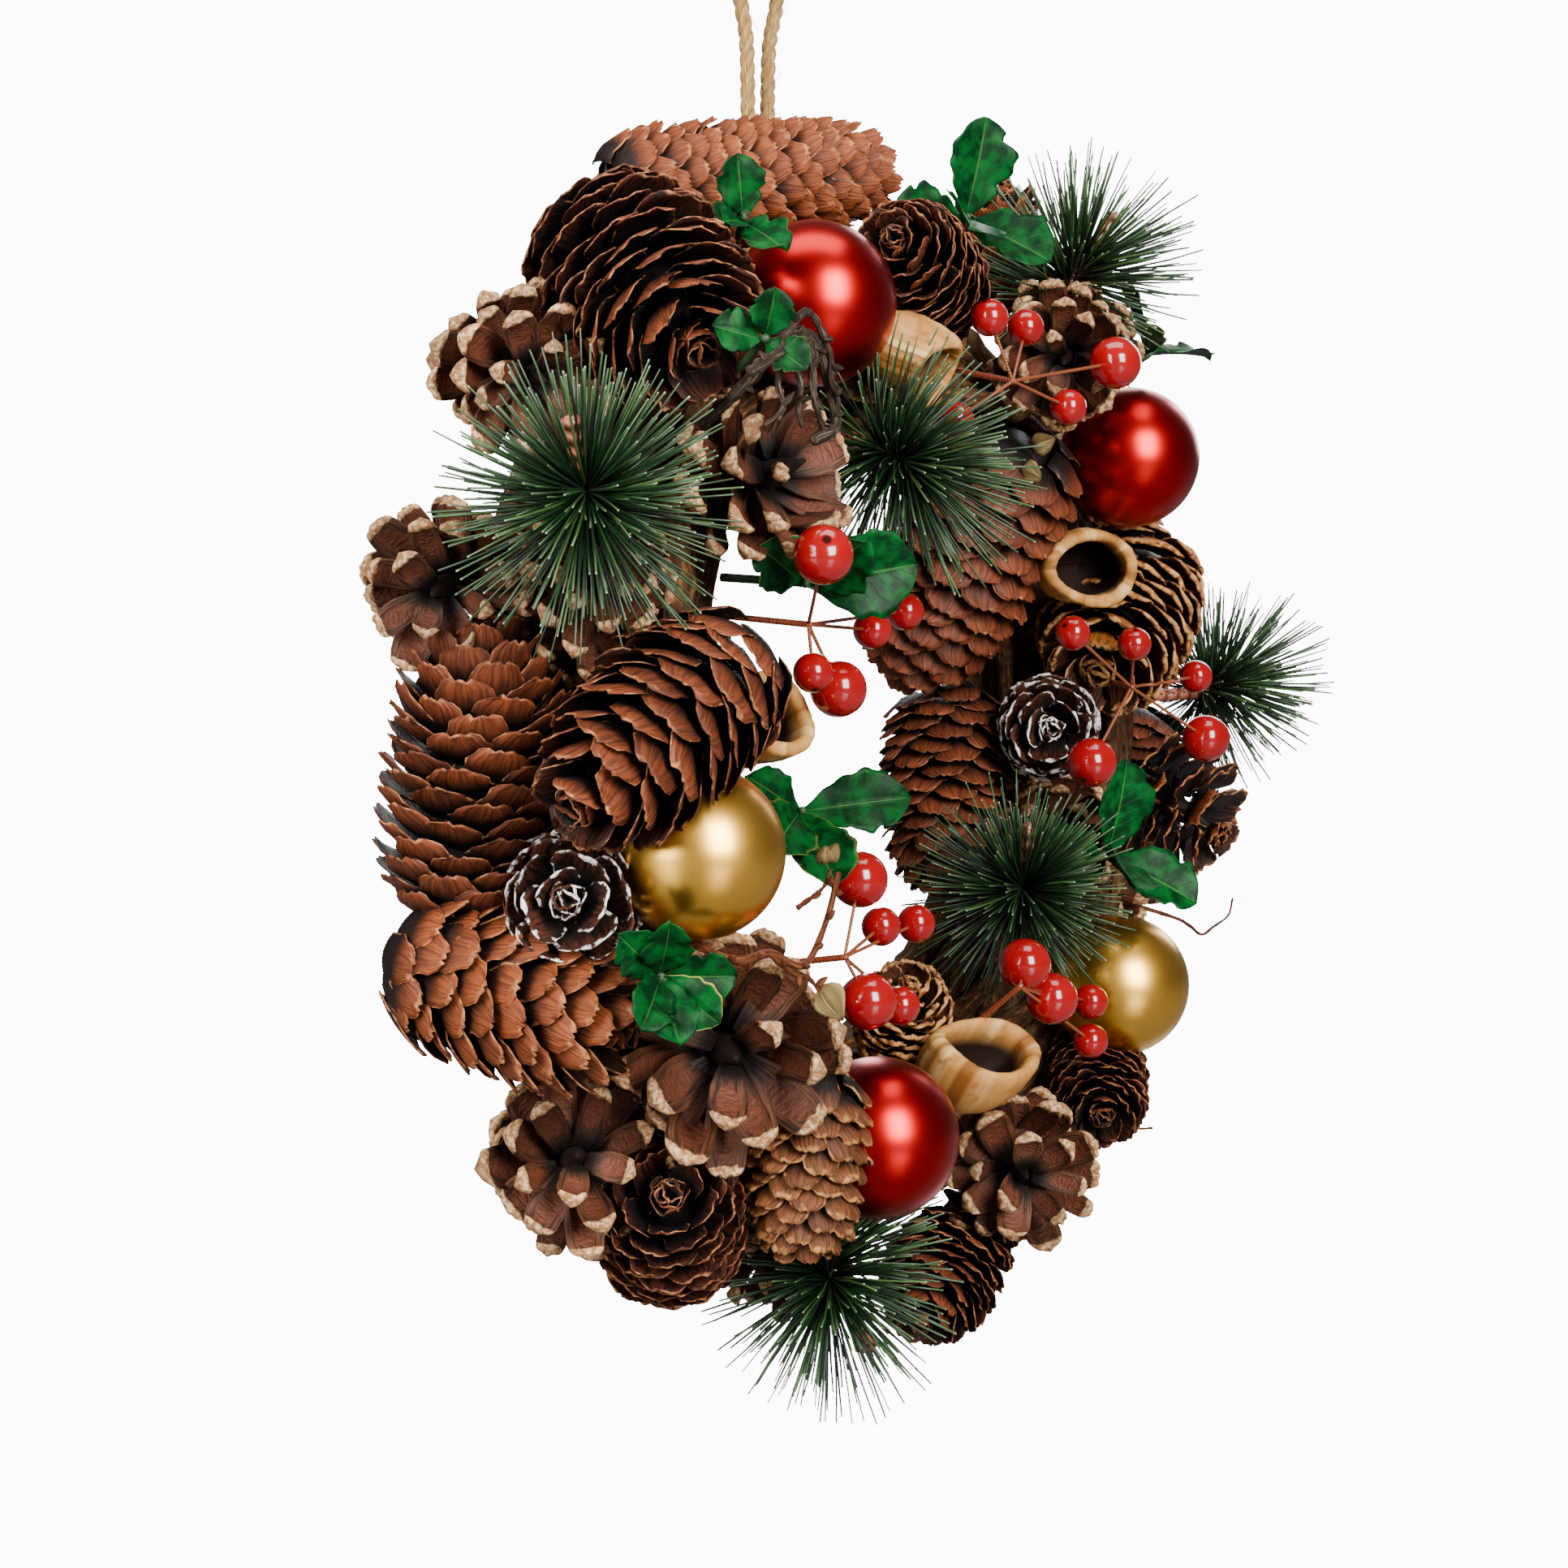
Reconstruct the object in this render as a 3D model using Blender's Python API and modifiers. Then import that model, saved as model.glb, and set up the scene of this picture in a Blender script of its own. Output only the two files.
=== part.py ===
# Pinecone wreath: a vine ring on a jute loop, dressed with cones, balls, berries, needles and leaves.
# Metres, +Z up. The wreath faces -Y, +X is right seen from the front.
# The origin is the top of the jute loop, where the wreath hangs.
# Places are in millimetres from the heart of the wreath: right, forward of its middle plane, up.

import math
import random

import bpy
import bmesh
from mathutils import Matrix, Vector
from mathutils.bvhtree import BVHTree

MM = 0.001
GAP = 0.3                    # clearance between pieces that touch

RING_RADIUS = 102.0          # centre line of the vine ring
RING_THICK = 58.0            # thickness of the bound vine
RING_BACK = -8.0             # how far forward the centre line lies
RING_FLAT = -35.0            # plane of the flattened back
RING_STEPS = 24
RING_SIDES = 8

LOOP_RISE = 206.0            # height of the loop's top over the heart
LOOP_BACK = -34.0            # the loop's plane, just inside the back
CORD_THICK = 4.0
BALL_WIDTH = 37.5
BERRY_LARGE = 13.0
BERRY_SMALL = 9.0
SEAT = 0.45                  # how near a stem's root comes to what carries it
WIRE_THICK = 1.5
STEM_THICK = 2.4
LEAF_THICK = 1.0             # at the rib

CUT_SIDES = 7                # sides of the envelope that trims a neighbour
SOUNDING = Vector((0.31, 0.87, 0.38)).normalized()   # a slanted way, to tell inside from outside

# Balls: name, colour, place.
BALLS = (
    ("ball_red_top", "red", (-72, 33, 98)),
    ("ball_red_right", "red", (71, 37.6, 77)),
    ("ball_gold_left", "gold", (-117, 34, -25)),
    ("ball_gold_right", "gold", (66, 37, -64)),
    ("ball_red_low", "red", (-53, 38, -92)),
)

# Dried seed cups: name, middle of the mouth, way the mouth looks, width, depth, narrowness.
PODS = (
    ("pod_top", (-42, 45, 86), (0.25, 0.75, -0.5), 26, 20, 0.7),
    ("pod_right", (52, 36, 46), (-0.75, 0.6, -0.1), 25, 19, 0.85),
    ("pod_left", (-79, 26, 5), (-0.3, 0.85, 0.35), 24, 17, 0.85),
    ("pod_low", (-8, 40, -76), (-0.2, 0.65, 0.7), 34, 18, 0.6),
)

# How each kind of cone is built. fullness shapes the outline, core is how deep the gaps between
# scales go, valley how far the notch between two neighbours reaches, rise how far a scale leans
# over the next row, edge how thick its end is.
KINDS = {
    "closed": dict(fullness=3.0, core=0.80, valley=0.88, rise=1.25, edge=0.0, colour="rust"),
    "thin": dict(fullness=2.2, core=0.60, valley=0.80, rise=1.35, edge=0.0, colour="umber"),
    "frosted": dict(fullness=2.2, core=0.55, valley=0.76, rise=1.2, edge=0.0, colour="frost"),
    "open": dict(fullness=2.4, core=0.36, valley=0.52, rise=1.0, edge=0.32, colour="bark"),
    "small": dict(fullness=2.6, core=0.74, valley=0.84, rise=1.2, edge=0.0, colour="tan"),
}

# Cones: name, kind, foot, tip, width, scales round, rows. Later ones give way to earlier ones.
CONES = (
    ("cone_left_front", "thin", (-116, 41, 14), (-162, 34, -18), 39, 7, 6),
    ("cone_left_upright", "thin", (-141, -10, -36), (-141, -4, 26), 42, 6, 7),
    ("cone_top_left", "thin", (-110, 2, 110), (-124, 42, 78), 46, 7, 6),
    ("cone_top_long", "closed", (-81, -16, 127.5), (-17, 18, 140), 31, 6, 7),
    ("cone_left_lying", "closed", (-149, -14, -48), (-129, 28, -64), 38, 6, 6),
    ("cone_frosted_left", "frosted", (-128, 10, -36), (-151, 26, -34), 31, 6, 4),
    ("cone_low_big", "open", (-88, 18, -68), (-116, 44, -69), 54, 7, 4),
    ("cone_low_golden", "closed", (-82, 40, -78), (-79, 34, -117), 28, 6, 5),
    ("cone_low_dark", "thin", (-82, 0, -116), (-114, 24, -98), 36, 6, 5),
    ("cone_low_left", "open", (-108, -8, -96), (-130, 12, -89), 44, 6, 3),
    ("cone_upper_left", "open", (-126, -12, 82), (-141, 14, 73), 40, 6, 3),
    ("cone_outer_left", "open", (-136, -16, 34), (-160, -4, 28), 40, 6, 3),
    ("cone_upper_front", "open", (-93, 26, 55), (-98, 52, 60), 42, 6, 4),
    ("cone_right_inner", "thin", (34, 26, 78), (48, -20, 18), 45, 6, 7),
    ("cone_right_low", "thin", (58, -12, 14), (55, -10, -42), 38, 6, 5),
    ("cone_right_tan", "small", (106, 22, 50), (62, 32, 17), 44, 6, 6),
    ("cone_frosted_right", "frosted", (68, 14, 5), (44, 29, 4), 28, 6, 3),
    ("cone_right_open", "open", (112, 18, -10), (114, 46, -26), 42, 6, 3),
    ("cone_top_small", "thin", (-14, 30, 108), (-57, 44, 115), 30, 5, 5),
    ("cone_top_back", "closed", (56, 2, 124), (46, 14, 150), 26, 5, 4),
    ("cone_top_open", "open", (52, 28, 106), (20, 46, 94), 40, 6, 3),
    ("cone_low_open", "open", (30, 22, -108), (4, 46, -108), 44, 6, 3),
    ("cone_low_right", "closed", (76, 24, -84), (44, 44, -98), 28, 5, 4),
    ("cone_bottom", "closed", (24, 16, -120), (-8, 20, -146), 32, 5, 4),
    ("cone_inner_small", "small", (-4, 12, -76), (-20, 26, -58), 24, 5, 4),
    ("cone_outer_upper", "closed", (112, -6, 90), (143, -2, 48), 38, 6, 4),
    ("cone_outer_right", "thin", (143, 0, 10), (140, -4, -42), 40, 6, 4),
    ("cone_outer_low", "open", (92, -6, -82), (120, 6, -106), 42, 6, 3),
)

# Small cones wedged between the others and bound into the vine ring, of the open kind.
FILLERS = (
    ((-112, -2, 24), (-140, 26, 40), 38, 5, 2),
    ((-16, 6, 102), (-24, 38, 96), 36, 5, 2),
    ((92, 0, -24), (64, 22, -26), 38, 5, 2),
    ((-44, -2, -112), (-54, 20, -130), 38, 5, 2),
    ((-88, 2, 0), (-64, 6, 2), 34, 5, 2),
    ((62, 4, -100), (66, 14, -132), 38, 5, 2),
    ((108, -4, -34), (138, 6, -46), 40, 5, 2),
    ((84, 0, -62), (94, 24, -72), 36, 5, 2),
    ((92, -2, 78), (103, 22, 88), 36, 5, 2),
)

# Berry sprays: name, fork, berries as (place, size).
BERRIES = (
    ("berries_top", (-14, 51, 86), (((-23, 50, 100), "s"), ((-6, 50, 100), "s"), ((24, 51, 95), "l"),
                                    ((8, 54, 82), "s"), ((-32, 46, 75), "s"))),
    ("berries_left", (-80, 37, 25), (((-99, 44, 38), "l"), ((-40, 37, 30), "s"), ((-54, 37, 25), "s"),
                                     ((-68, 37, 11), "l"), ((-84, 41, 14), "s"))),
    ("berries_right", (60, 44, 15), (((32, 42, 28), "s"), ((54, 48, 26), "s"), ((98, 44, 19), "s"),
                                     ((96, 48, 2), "l"), ((42, 42, -5), "l"))),
    ("berries_low", (-76, 44, -49), (((-67, 42, -32), "l"), ((-58, 42, -43), "s"), ((-43, 42, -43), "s"),
                                     ((-71, 47, -59), "l"), ((-56, 46, -61), "s"))),
    ("berries_low_right", (-2, 46, -60), (((4, 44, -55), "l"), ((14, 46, -64), "l"),
                                          ((34, 46, -66), "s"), ((34, 46, -76), "s"))),
)

# Leafy sprigs: name, fork, way it grows, leaf length, leaf width, number of leaves.
SPRIGS = (
    ("leaves_top_left", (-98, 32, 112), (-0.7, 0.6, 0.3), 15, 10, 4),
    ("leaves_top_right", (-2, 30, 129), (-0.45, 0.75, 0.3), 26, 16, 4),
    ("leaves_ball_side", (-117, 50, 81), (-0.6, 0.75, 0.1), 12, 9, 3),
    ("leaves_upper_right", (84, 36, 106), (0.2, 0.4, 0.8), 24, 11, 3),
    ("leaves_inner_left", (-84, 38, 34), (-0.6, 0.75, -0.2), 27, 19, 3),
    ("leaves_inner_low", (-68, 26, -17), (-0.6, 0.75, 0.2), 27, 14, 5),
    ("leaves_low_left", (-133, 36, -50), (-0.6, 0.75, -0.1), 23, 14, 6),
    ("leaves_right_low", (64, 34, -30), (-0.3, 0.8, 0.3), 28, 17, 4),
)

# Needle sprays: name, heart, way the stem looks, needle length.
SPRAYS = (
    ("needles_left", (-147, 28, 46), (-0.74, 0.6, 0.3), 32),
    ("needles_inner", (-56, 41, 66), (0.3, 0.8, -0.5), 30),
    ("needles_top_right", (48, 30, 119), (0.2, 0.55, 0.8), 32),
    ("needles_right", (34, 24, -39), (-0.7, 0.65, 0.2), 30),
    ("needles_bottom", (-54, 24, -121), (-0.45, 0.45, -0.75), 30),
    ("needles_outer_right", (140, 26, 17), (0.8, 0.5, 0.3), 30),
)

# Twigs: name, thickness, points.
TWIGS = (
    ("twig_gnarled", 3.4, ((-117, 50, 76), (-112, 54, 84), (-104, 56, 82), (-100, 56, 74),
                           (-96, 55, 66), (-104, 55, 62))),
    ("twig_budded", 2.6, ((-122, 46, -47), (-112, 49, -46), (-102, 51, -49), (-92, 50, -40),
                          (-86, 49, -30))),
)

COLOURS = {
    "vine": ((0.17, 0.10, 0.06), 0.85, 0.0),
    "jute": ((0.62, 0.47, 0.28), 0.9, 0.0),
    "rust": ((0.36, 0.16, 0.08), 0.75, 0.0),
    "umber": ((0.20, 0.09, 0.05), 0.7, 0.0),
    "frost": ((0.62, 0.55, 0.50), 0.7, 0.0),
    "bark": ((0.28, 0.15, 0.08), 0.75, 0.0),
    "tan": ((0.45, 0.26, 0.13), 0.75, 0.0),
    "red": ((0.65, 0.01, 0.01), 0.3, 0.6),
    "gold": ((0.80, 0.60, 0.28), 0.3, 0.8),
    "berry": ((0.60, 0.0, 0.01), 0.12, 0.0),
    "leaf": ((0.02, 0.16, 0.05), 0.45, 0.0),
    "needle": ((0.02, 0.10, 0.04), 0.5, 0.0),
    "husk": ((0.62, 0.42, 0.22), 0.7, 0.0),
    "twig": ((0.16, 0.12, 0.09), 0.85, 0.0),
}


def clear_scene():
    for item in list(bpy.data.objects):
        bpy.data.objects.remove(item, do_unlink=True)


def collection(name):
    made = bpy.data.collections.new(name)
    bpy.context.scene.collection.children.link(made)
    return made


def spot(place):
    """World place of a point given from the heart of the wreath, in millimetres."""
    right, forward, up = place
    return Vector((right, LOOP_BACK - forward, up - LOOP_RISE)) * MM


def way(place):
    right, forward, up = place
    return Vector((right, -forward, up)).normalized()


def paint(thing, colour):
    tone, roughness, metallic = COLOURS[colour]
    material = bpy.data.materials.new(thing.name + "_" + colour)
    material.use_nodes = True
    shader = material.node_tree.nodes["Principled BSDF"]
    shader.inputs["Base Color"].default_value = (*tone, 1.0)
    shader.inputs["Roughness"].default_value = roughness
    shader.inputs["Metallic"].default_value = metallic
    thing.data.materials.clear()
    thing.data.materials.append(material)


def from_bmesh(bm, name, home):
    bmesh.ops.recalc_face_normals(bm, faces=bm.faces)
    mesh = bpy.data.meshes.new(name)
    bm.to_mesh(mesh)
    bm.free()
    thing = bpy.data.objects.new(name, mesh)
    home.objects.link(thing)
    return thing


def bake(thing):
    """Replaces an object's mesh by its evaluated one, with the modifiers applied."""
    bpy.context.view_layer.update()
    graph = bpy.context.evaluated_depsgraph_get()
    mesh = bpy.data.meshes.new_from_object(thing.evaluated_get(graph))
    name = thing.name
    home = thing.users_collection[0]
    place = thing.matrix_world.copy()
    bpy.data.objects.remove(thing, do_unlink=True)
    mesh.transform(place)
    fresh = bpy.data.objects.new(name, mesh)
    fresh.name = name
    home.objects.link(fresh)
    return fresh


def weld(thing, distance=2e-6):
    bm = bmesh.new()
    bm.from_mesh(thing.data)
    bmesh.ops.remove_doubles(bm, verts=bm.verts, dist=distance)
    bmesh.ops.recalc_face_normals(bm, faces=bm.faces)
    bm.to_mesh(thing.data)
    bm.free()


def keep_largest(thing):
    """Drops the loose scraps that a cut leaves."""
    bm = bmesh.new()
    bm.from_mesh(thing.data)
    left = set(bm.verts)
    islands = []
    while left:
        island, front = set(), [left.pop()]
        while front:
            vert = front.pop()
            island.add(vert)
            for edge in vert.link_edges:
                other = edge.other_vert(vert)
                if other in left:
                    left.remove(other)
                    front.append(other)
        islands.append(island)
    best = max(islands, key=len)
    scraps = [vert for island in islands if island is not best for vert in island]
    bmesh.ops.delete(bm, geom=scraps, context="VERTS")
    bm.to_mesh(thing.data)
    bm.free()


def boolean(thing, other, operation):
    modifier = thing.modifiers.new(operation.lower(), "BOOLEAN")
    modifier.operation = operation
    modifier.solver = "MANIFOLD"
    modifier.object = other
    return bake(thing)


def fuse(pieces):
    """Joins closed pieces that cross into one body, the first of them."""
    whole = pieces[0]
    for piece in pieces[1:]:
        whole = boolean(whole, piece, "UNION")
        bpy.data.objects.remove(piece, do_unlink=True)
    weld(whole)
    keep_largest(whole)
    return whole


def across(axis):
    """Two directions square to an axis and to each other."""
    guide = Vector((0, 0, 1)) if abs(axis.z) < 0.9 else Vector((0, 1, 0))
    first = axis.cross(guide).normalized()
    return first, axis.cross(first).normalized()


def loft(bm, rings, start, end):
    """Skins rings that hold the same number of points, closed to a point at both ends."""
    loops = [[bm.verts.new(point) for point in ring] for ring in rings]
    first, last = bm.verts.new(start), bm.verts.new(end)
    count = len(loops[0])
    for j in range(count):
        k = (j + 1) % count
        bm.faces.new((first, loops[0][k], loops[0][j]))
        bm.faces.new((last, loops[-1][j], loops[-1][k]))
    for low, high in zip(loops, loops[1:]):
        for j in range(count):
            k = (j + 1) % count
            if j % 2:
                bm.faces.new((low[j], low[k], high[j]))
                bm.faces.new((low[k], high[k], high[j]))
            else:
                bm.faces.new((low[j], low[k], high[k]))
                bm.faces.new((low[j], high[k], high[j]))


# Vine ring

def vine_ring(name, home):
    profile = bpy.data.meshes.new("ring_profile")
    points = []
    for i in range(RING_SIDES):
        turn = 2 * math.pi * (i + 0.5) / RING_SIDES
        out = RING_RADIUS + RING_THICK / 2 * math.cos(turn)
        forward = max(RING_FLAT, RING_BACK + RING_THICK / 2 * math.sin(turn))
        points.append((out * MM, -forward * MM, 0.0))
    edges = [(i, (i + 1) % RING_SIDES) for i in range(RING_SIDES)]
    profile.from_pydata(points, edges, [])
    ring = bpy.data.objects.new(name, profile)
    home.objects.link(ring)
    turned = ring.modifiers.new("turned", "SCREW")
    turned.axis = "Y"
    turned.steps = RING_STEPS
    turned.render_steps = RING_STEPS
    turned.use_merge_vertices = True
    turned.merge_threshold = 1e-5
    ring.location = spot((0, 0, 0))
    ring = bake(ring)
    weld(ring)
    return ring


# Balls and seed cups

def ball(name, place, width, home, segments=14, rings=8):
    bm = bmesh.new()
    bmesh.ops.create_uvsphere(bm, u_segments=segments, v_segments=rings, radius=width / 2 * MM,
                              matrix=Matrix.Translation(spot(place)))
    bmesh.ops.triangulate(bm, faces=bm.faces)
    return from_bmesh(bm, name, home)


def seed_cup(name, mouth, look, width, depth, narrow, home, wall=2.2, hull=False):
    """A cup with an open mouth; as a hull it is the same cup, filled and a little larger."""
    axis = way(look)
    side, up = across(axis)
    centre = spot(mouth)
    extra = GAP if hull else 0.0
    steps, count = 3, 10

    def ring(radius, height):
        points = []
        for j in range(count):
            turn = 2 * math.pi * j / count
            flat = side * math.cos(turn) + up * math.sin(turn) * narrow
            points.append(centre + (flat * radius + axis * height) * MM)
        return points

    outer, inner = [], []
    for i in range(steps):
        bend = math.pi / 2 * (i + 0.6) / steps
        outer.append((width / 2 * math.sin(bend) ** 0.8 + extra, -depth * math.cos(bend)))
        inner.append(((width / 2 - wall) * math.sin(bend) ** 0.8, -(depth - wall) * math.cos(bend)))
    rim = [(width / 2 + extra, 0.0)]
    bm = bmesh.new()
    if hull:
        loft(bm, [ring(*p) for p in outer + rim + [(width / 2 + extra, extra)]],
             centre - axis * (depth + extra) * MM, centre + axis * extra * MM)
    else:
        lip = [(width / 2 - wall, 0.4)]
        loft(bm, [ring(*p) for p in outer + rim + lip + inner[::-1]],
             centre - axis * depth * MM, centre - axis * (depth - wall) * MM)
    return from_bmesh(bm, name, home)


# Cones

def outline(kind, along):
    """Half width of a cone at a share of its length, 1 at its widest."""
    power = KINDS[kind]["fullness"]
    widest = 0.38
    span = widest + 0.14 if along < widest else 1.04 - widest
    return max(0.0, 1 - (abs(along - widest) / span) ** power) ** (1 / power)


def cone_frame(foot, tip):
    start, end = spot(foot), spot(tip)
    axis = (end - start).normalized()
    side, up = across(axis)
    return start, axis, side, up, (end - start).length / MM


def cone(name, kind, foot, tip, width, around, rows, home):
    """Rows of scales round an axis: each row steps out to its scale ends and back in under them."""
    form = KINDS[kind]
    start, axis, side, up, length = cone_frame(foot, tip)
    count = 2 * around

    def ring(row, radii, heights):
        points = []
        for j in range(count):
            on_scale = (j + row) % 2
            turn = 2 * math.pi * j / count
            flat = side * math.cos(turn) + up * math.sin(turn)
            points.append(start + (flat * radii[on_scale] + axis * heights[on_scale]) * MM)
        return points

    rings = []
    pitch = 1.0 / (rows + 0.6)
    for row in range(rows):
        foot_at = pitch * (row + 0.05)
        end_at = foot_at + pitch * form["rise"]
        notch_at = foot_at + pitch * form["rise"] * 0.5
        wide = width / 2 * outline(kind, min(1.0, foot_at + pitch * 0.7))
        core = wide * form["core"]
        notch = wide * form["valley"]
        rings.append(ring(row, (core, core), (foot_at * length, foot_at * length)))
        rings.append(ring(row, (notch, wide), (notch_at * length, end_at * length)))
        if form["edge"]:
            thick = pitch * form["edge"]
            rings.append(ring(row, (notch * 0.9, wide * 0.86),
                              ((notch_at + thick * 0.6) * length, (end_at + thick) * length)))
    bm = bmesh.new()
    last = rings[-1]
    top = max((point - start).dot(axis) for point in last) / MM
    loft(bm, rings, start, start + axis * (top + length * 0.01) * MM)
    return from_bmesh(bm, name, home)


def cone_hull(name, kind, foot, tip, width, around, rows, home):
    """The plain turned shape that a cone's scale ends reach, with the gap added."""
    form = KINDS[kind]
    start, axis, side, up, length = cone_frame(foot, tip)
    pitch = 1.0 / (rows + 0.6)
    swell = 1 / math.cos(math.pi / CUT_SIDES)
    rings = []
    for row in range(rows):
        foot_at = pitch * (row + 0.05)
        end_at = foot_at + pitch * form["rise"]
        wide = width / 2 * outline(kind, min(1.0, foot_at + pitch * 0.7)) * swell + GAP
        if row == 0:
            rings.append((wide, -GAP))
        rings.append((wide, end_at * length))
        if form["edge"]:
            rings.append((wide, (end_at + pitch * form["edge"]) * length))
    rings.append((rings[-1][0] * 0.9, rings[-1][1] + GAP))
    bm = bmesh.new()
    points = []
    for radius, height in rings:
        turned = []
        for j in range(CUT_SIDES):
            turn = 2 * math.pi * j / CUT_SIDES
            flat = side * math.cos(turn) + up * math.sin(turn)
            turned.append(start + (flat * radius + axis * height) * MM)
        points.append(turned)
    top = rings[-1][1] + length * 0.01 + GAP
    loft(bm, points, start - axis * GAP * MM, start + axis * top * MM)
    return from_bmesh(bm, name, home)


# What is already in place, and how later pieces keep clear of it

def ring_centre(point):
    """The point of the ring's centre line that is nearest to a point."""
    middle = spot((0, RING_BACK, 0))
    local = point - middle
    return middle + Vector((local.x, 0, local.z)).normalized() * RING_RADIUS * MM


class Crowd:
    def __init__(self):
        self.trees = []

    def add(self, thing):
        bm = bmesh.new()
        bm.from_mesh(thing.data)
        bmesh.ops.triangulate(bm, faces=bm.faces)
        tree = BVHTree.FromBMesh(bm)
        corners = [vert.co.copy() for vert in bm.verts]
        bm.free()
        low = Vector([min(c[i] for c in corners) for i in range(3)])
        high = Vector([max(c[i] for c in corners) for i in range(3)])
        self.trees.append((tree, low, high))

    def near(self, point, reach):
        """Distance to the nearest piece in millimetres, or the reach where nothing is that near."""
        best = reach * MM
        for tree, low, high in self.trees:
            if any(point[i] < low[i] - best or point[i] > high[i] + best for i in range(3)):
                continue
            distance = tree.find_nearest(point, best)[3]
            if distance is not None:
                best = min(best, distance)
        return best / MM

    def holds(self, point):
        """Whether a point lies inside a piece, by counting the walls on one side of it."""
        for tree, low, high in self.trees:
            if any(point[i] < low[i] or point[i] > high[i] for i in range(3)):
                continue
            walls, start = 0, point
            while walls < 60:
                place = tree.ray_cast(start, SOUNDING)[0]
                if place is None:
                    break
                walls += 1
                start = place + SOUNDING * 1e-6
            if walls % 2:
                return True
        return False

    def clear(self, point, need):
        return self.near(point, need + 0.1) >= need and not self.holds(point)

    def push_clear(self, point, need):
        """Moves a point away from the ring's centre line until it is clear by a distance."""
        out = (point - ring_centre(point)).normalized()
        for _ in range(80):
            if self.clear(point, need):
                return point
            point = point + out * 0.5 * MM
        return point

    def clear_line(self, start, end, need):
        steps = max(2, int((end - start).length / MM))
        return all(self.near(start.lerp(end, i / steps), need + 0.1) >= need for i in range(steps + 1))

    def clear_route(self, start, end, need):
        """Points from start to end, bent clear of what lies between."""
        if self.clear_line(start, end, need):
            return [start, end]
        for count in (1, 2, 3, 5, 7, 9):
            shares = [(i + 1) / (count + 1) for i in range(count)]
            inner = [self.push_clear(start.lerp(end, share), need + 0.5) for share in shares]
            route = [start, *inner, end]
            if all(self.clear_line(a, b, need) for a, b in zip(route, route[1:])):
                return route
        return route

    def clear_length(self, point, direction, wanted, half, start=2.5):
        """How far a thin spike can run before it comes too near something."""
        run = start
        while run < wanted:
            need = max(0.75, half * (1 - run / wanted) + 0.4)
            if self.near(point + direction * run * MM, need + 0.1) < need:
                return run - 1.0
            run += 1.0
        return wanted


def wire(name, points, thick, home, sides=4, root=None):
    """A thin round rod along points, pointed at its first end where it is stuck in."""
    bm = bmesh.new()
    rings = []
    for i, point in enumerate(points):
        before, after = points[max(i - 1, 0)], points[min(i + 1, len(points) - 1)]
        side, up = across((after - before).normalized())
        radius = thick / 2 * MM
        rings.append([point + (side * math.cos(2 * math.pi * j / sides)
                               + up * math.sin(2 * math.pi * j / sides)) * radius
                      for j in range(sides)])
    last = (points[-1] - points[-2]).normalized()
    tip = root if root is not None else points[0] - (points[1] - points[0]).normalized() * 0.5 * MM
    loft_even(bm, rings, tip, points[-1] + last * 0.4 * MM)
    return from_bmesh(bm, name, home)


def loft_even(bm, rings, start, end):
    """The same skin as loft, with every quad split the same way."""
    loops = [[bm.verts.new(point) for point in ring] for ring in rings]
    first, last = bm.verts.new(start), bm.verts.new(end)
    count = len(loops[0])
    for j in range(count):
        k = (j + 1) % count
        bm.faces.new((first, loops[0][k], loops[0][j]))
        bm.faces.new((last, loops[-1][j], loops[-1][k]))
    for low, high in zip(loops, loops[1:]):
        for j in range(count):
            k = (j + 1) % count
            bm.faces.new((low[j], low[k], high[k]))
            bm.faces.new((low[j], high[k], high[j]))


def rooted(crowd, point, thick):
    """A stem from what carries it up to a point: its pointed root, and where it is full width."""
    direction = (ring_centre(point) - point).normalized()
    step, reach = 0.25, 80.0
    rooms, run = [], 0.0
    while run < reach:
        room = crowd.near(point + direction * run * MM, thick)
        rooms.append(room)
        if room < SEAT:
            break
        run += step
    knee = len(rooms) - 1

    def fits(knee):
        length = max(1, len(rooms) - 1 - knee)
        return all(room > thick / 2 * min(1.0, 1 - (i - knee) / length) + 0.2
                   for i, room in enumerate(rooms[:-1]))

    while knee > 0 and not fits(knee):
        knee -= 1
    return point + direction * run * MM, point + direction * knee * step * MM


# Berry sprays

def berry_spray(name, fork, berries, crowd, home, helpers):
    fork_at = crowd.push_clear(spot(fork), 2.0)
    stem = WIRE_THICK * 1.25
    root, knee = rooted(crowd, fork_at, stem)
    upper = fork_at + (fork_at - ring_centre(fork_at)).normalized() * 0.8 * MM
    pieces = [wire(name, [knee, upper], stem, home, root=root, sides=4)]
    for number, (place, size) in enumerate(berries):
        width = BERRY_LARGE if size == "l" else BERRY_SMALL
        centre = crowd.push_clear(spot(place), width / 2 + 0.5)
        route = crowd.clear_route(fork_at, centre, WIRE_THICK / 2 + 0.35)
        route[-1] = centre + (route[-2] - centre).normalized() * width * 0.3 * MM
        pieces.append(wire(name + "_wire_%d" % number, route, WIRE_THICK, helpers, sides=3))
        bm = bmesh.new()
        bmesh.ops.create_uvsphere(bm, u_segments=6, v_segments=4, radius=width / 2 * MM,
                                  matrix=Matrix.Translation(centre))
        bmesh.ops.triangulate(bm, faces=bm.faces)
        pieces.append(from_bmesh(bm, name + "_berry_%d" % number, helpers))
    return fuse(pieces)


# Leafy sprigs

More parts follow.
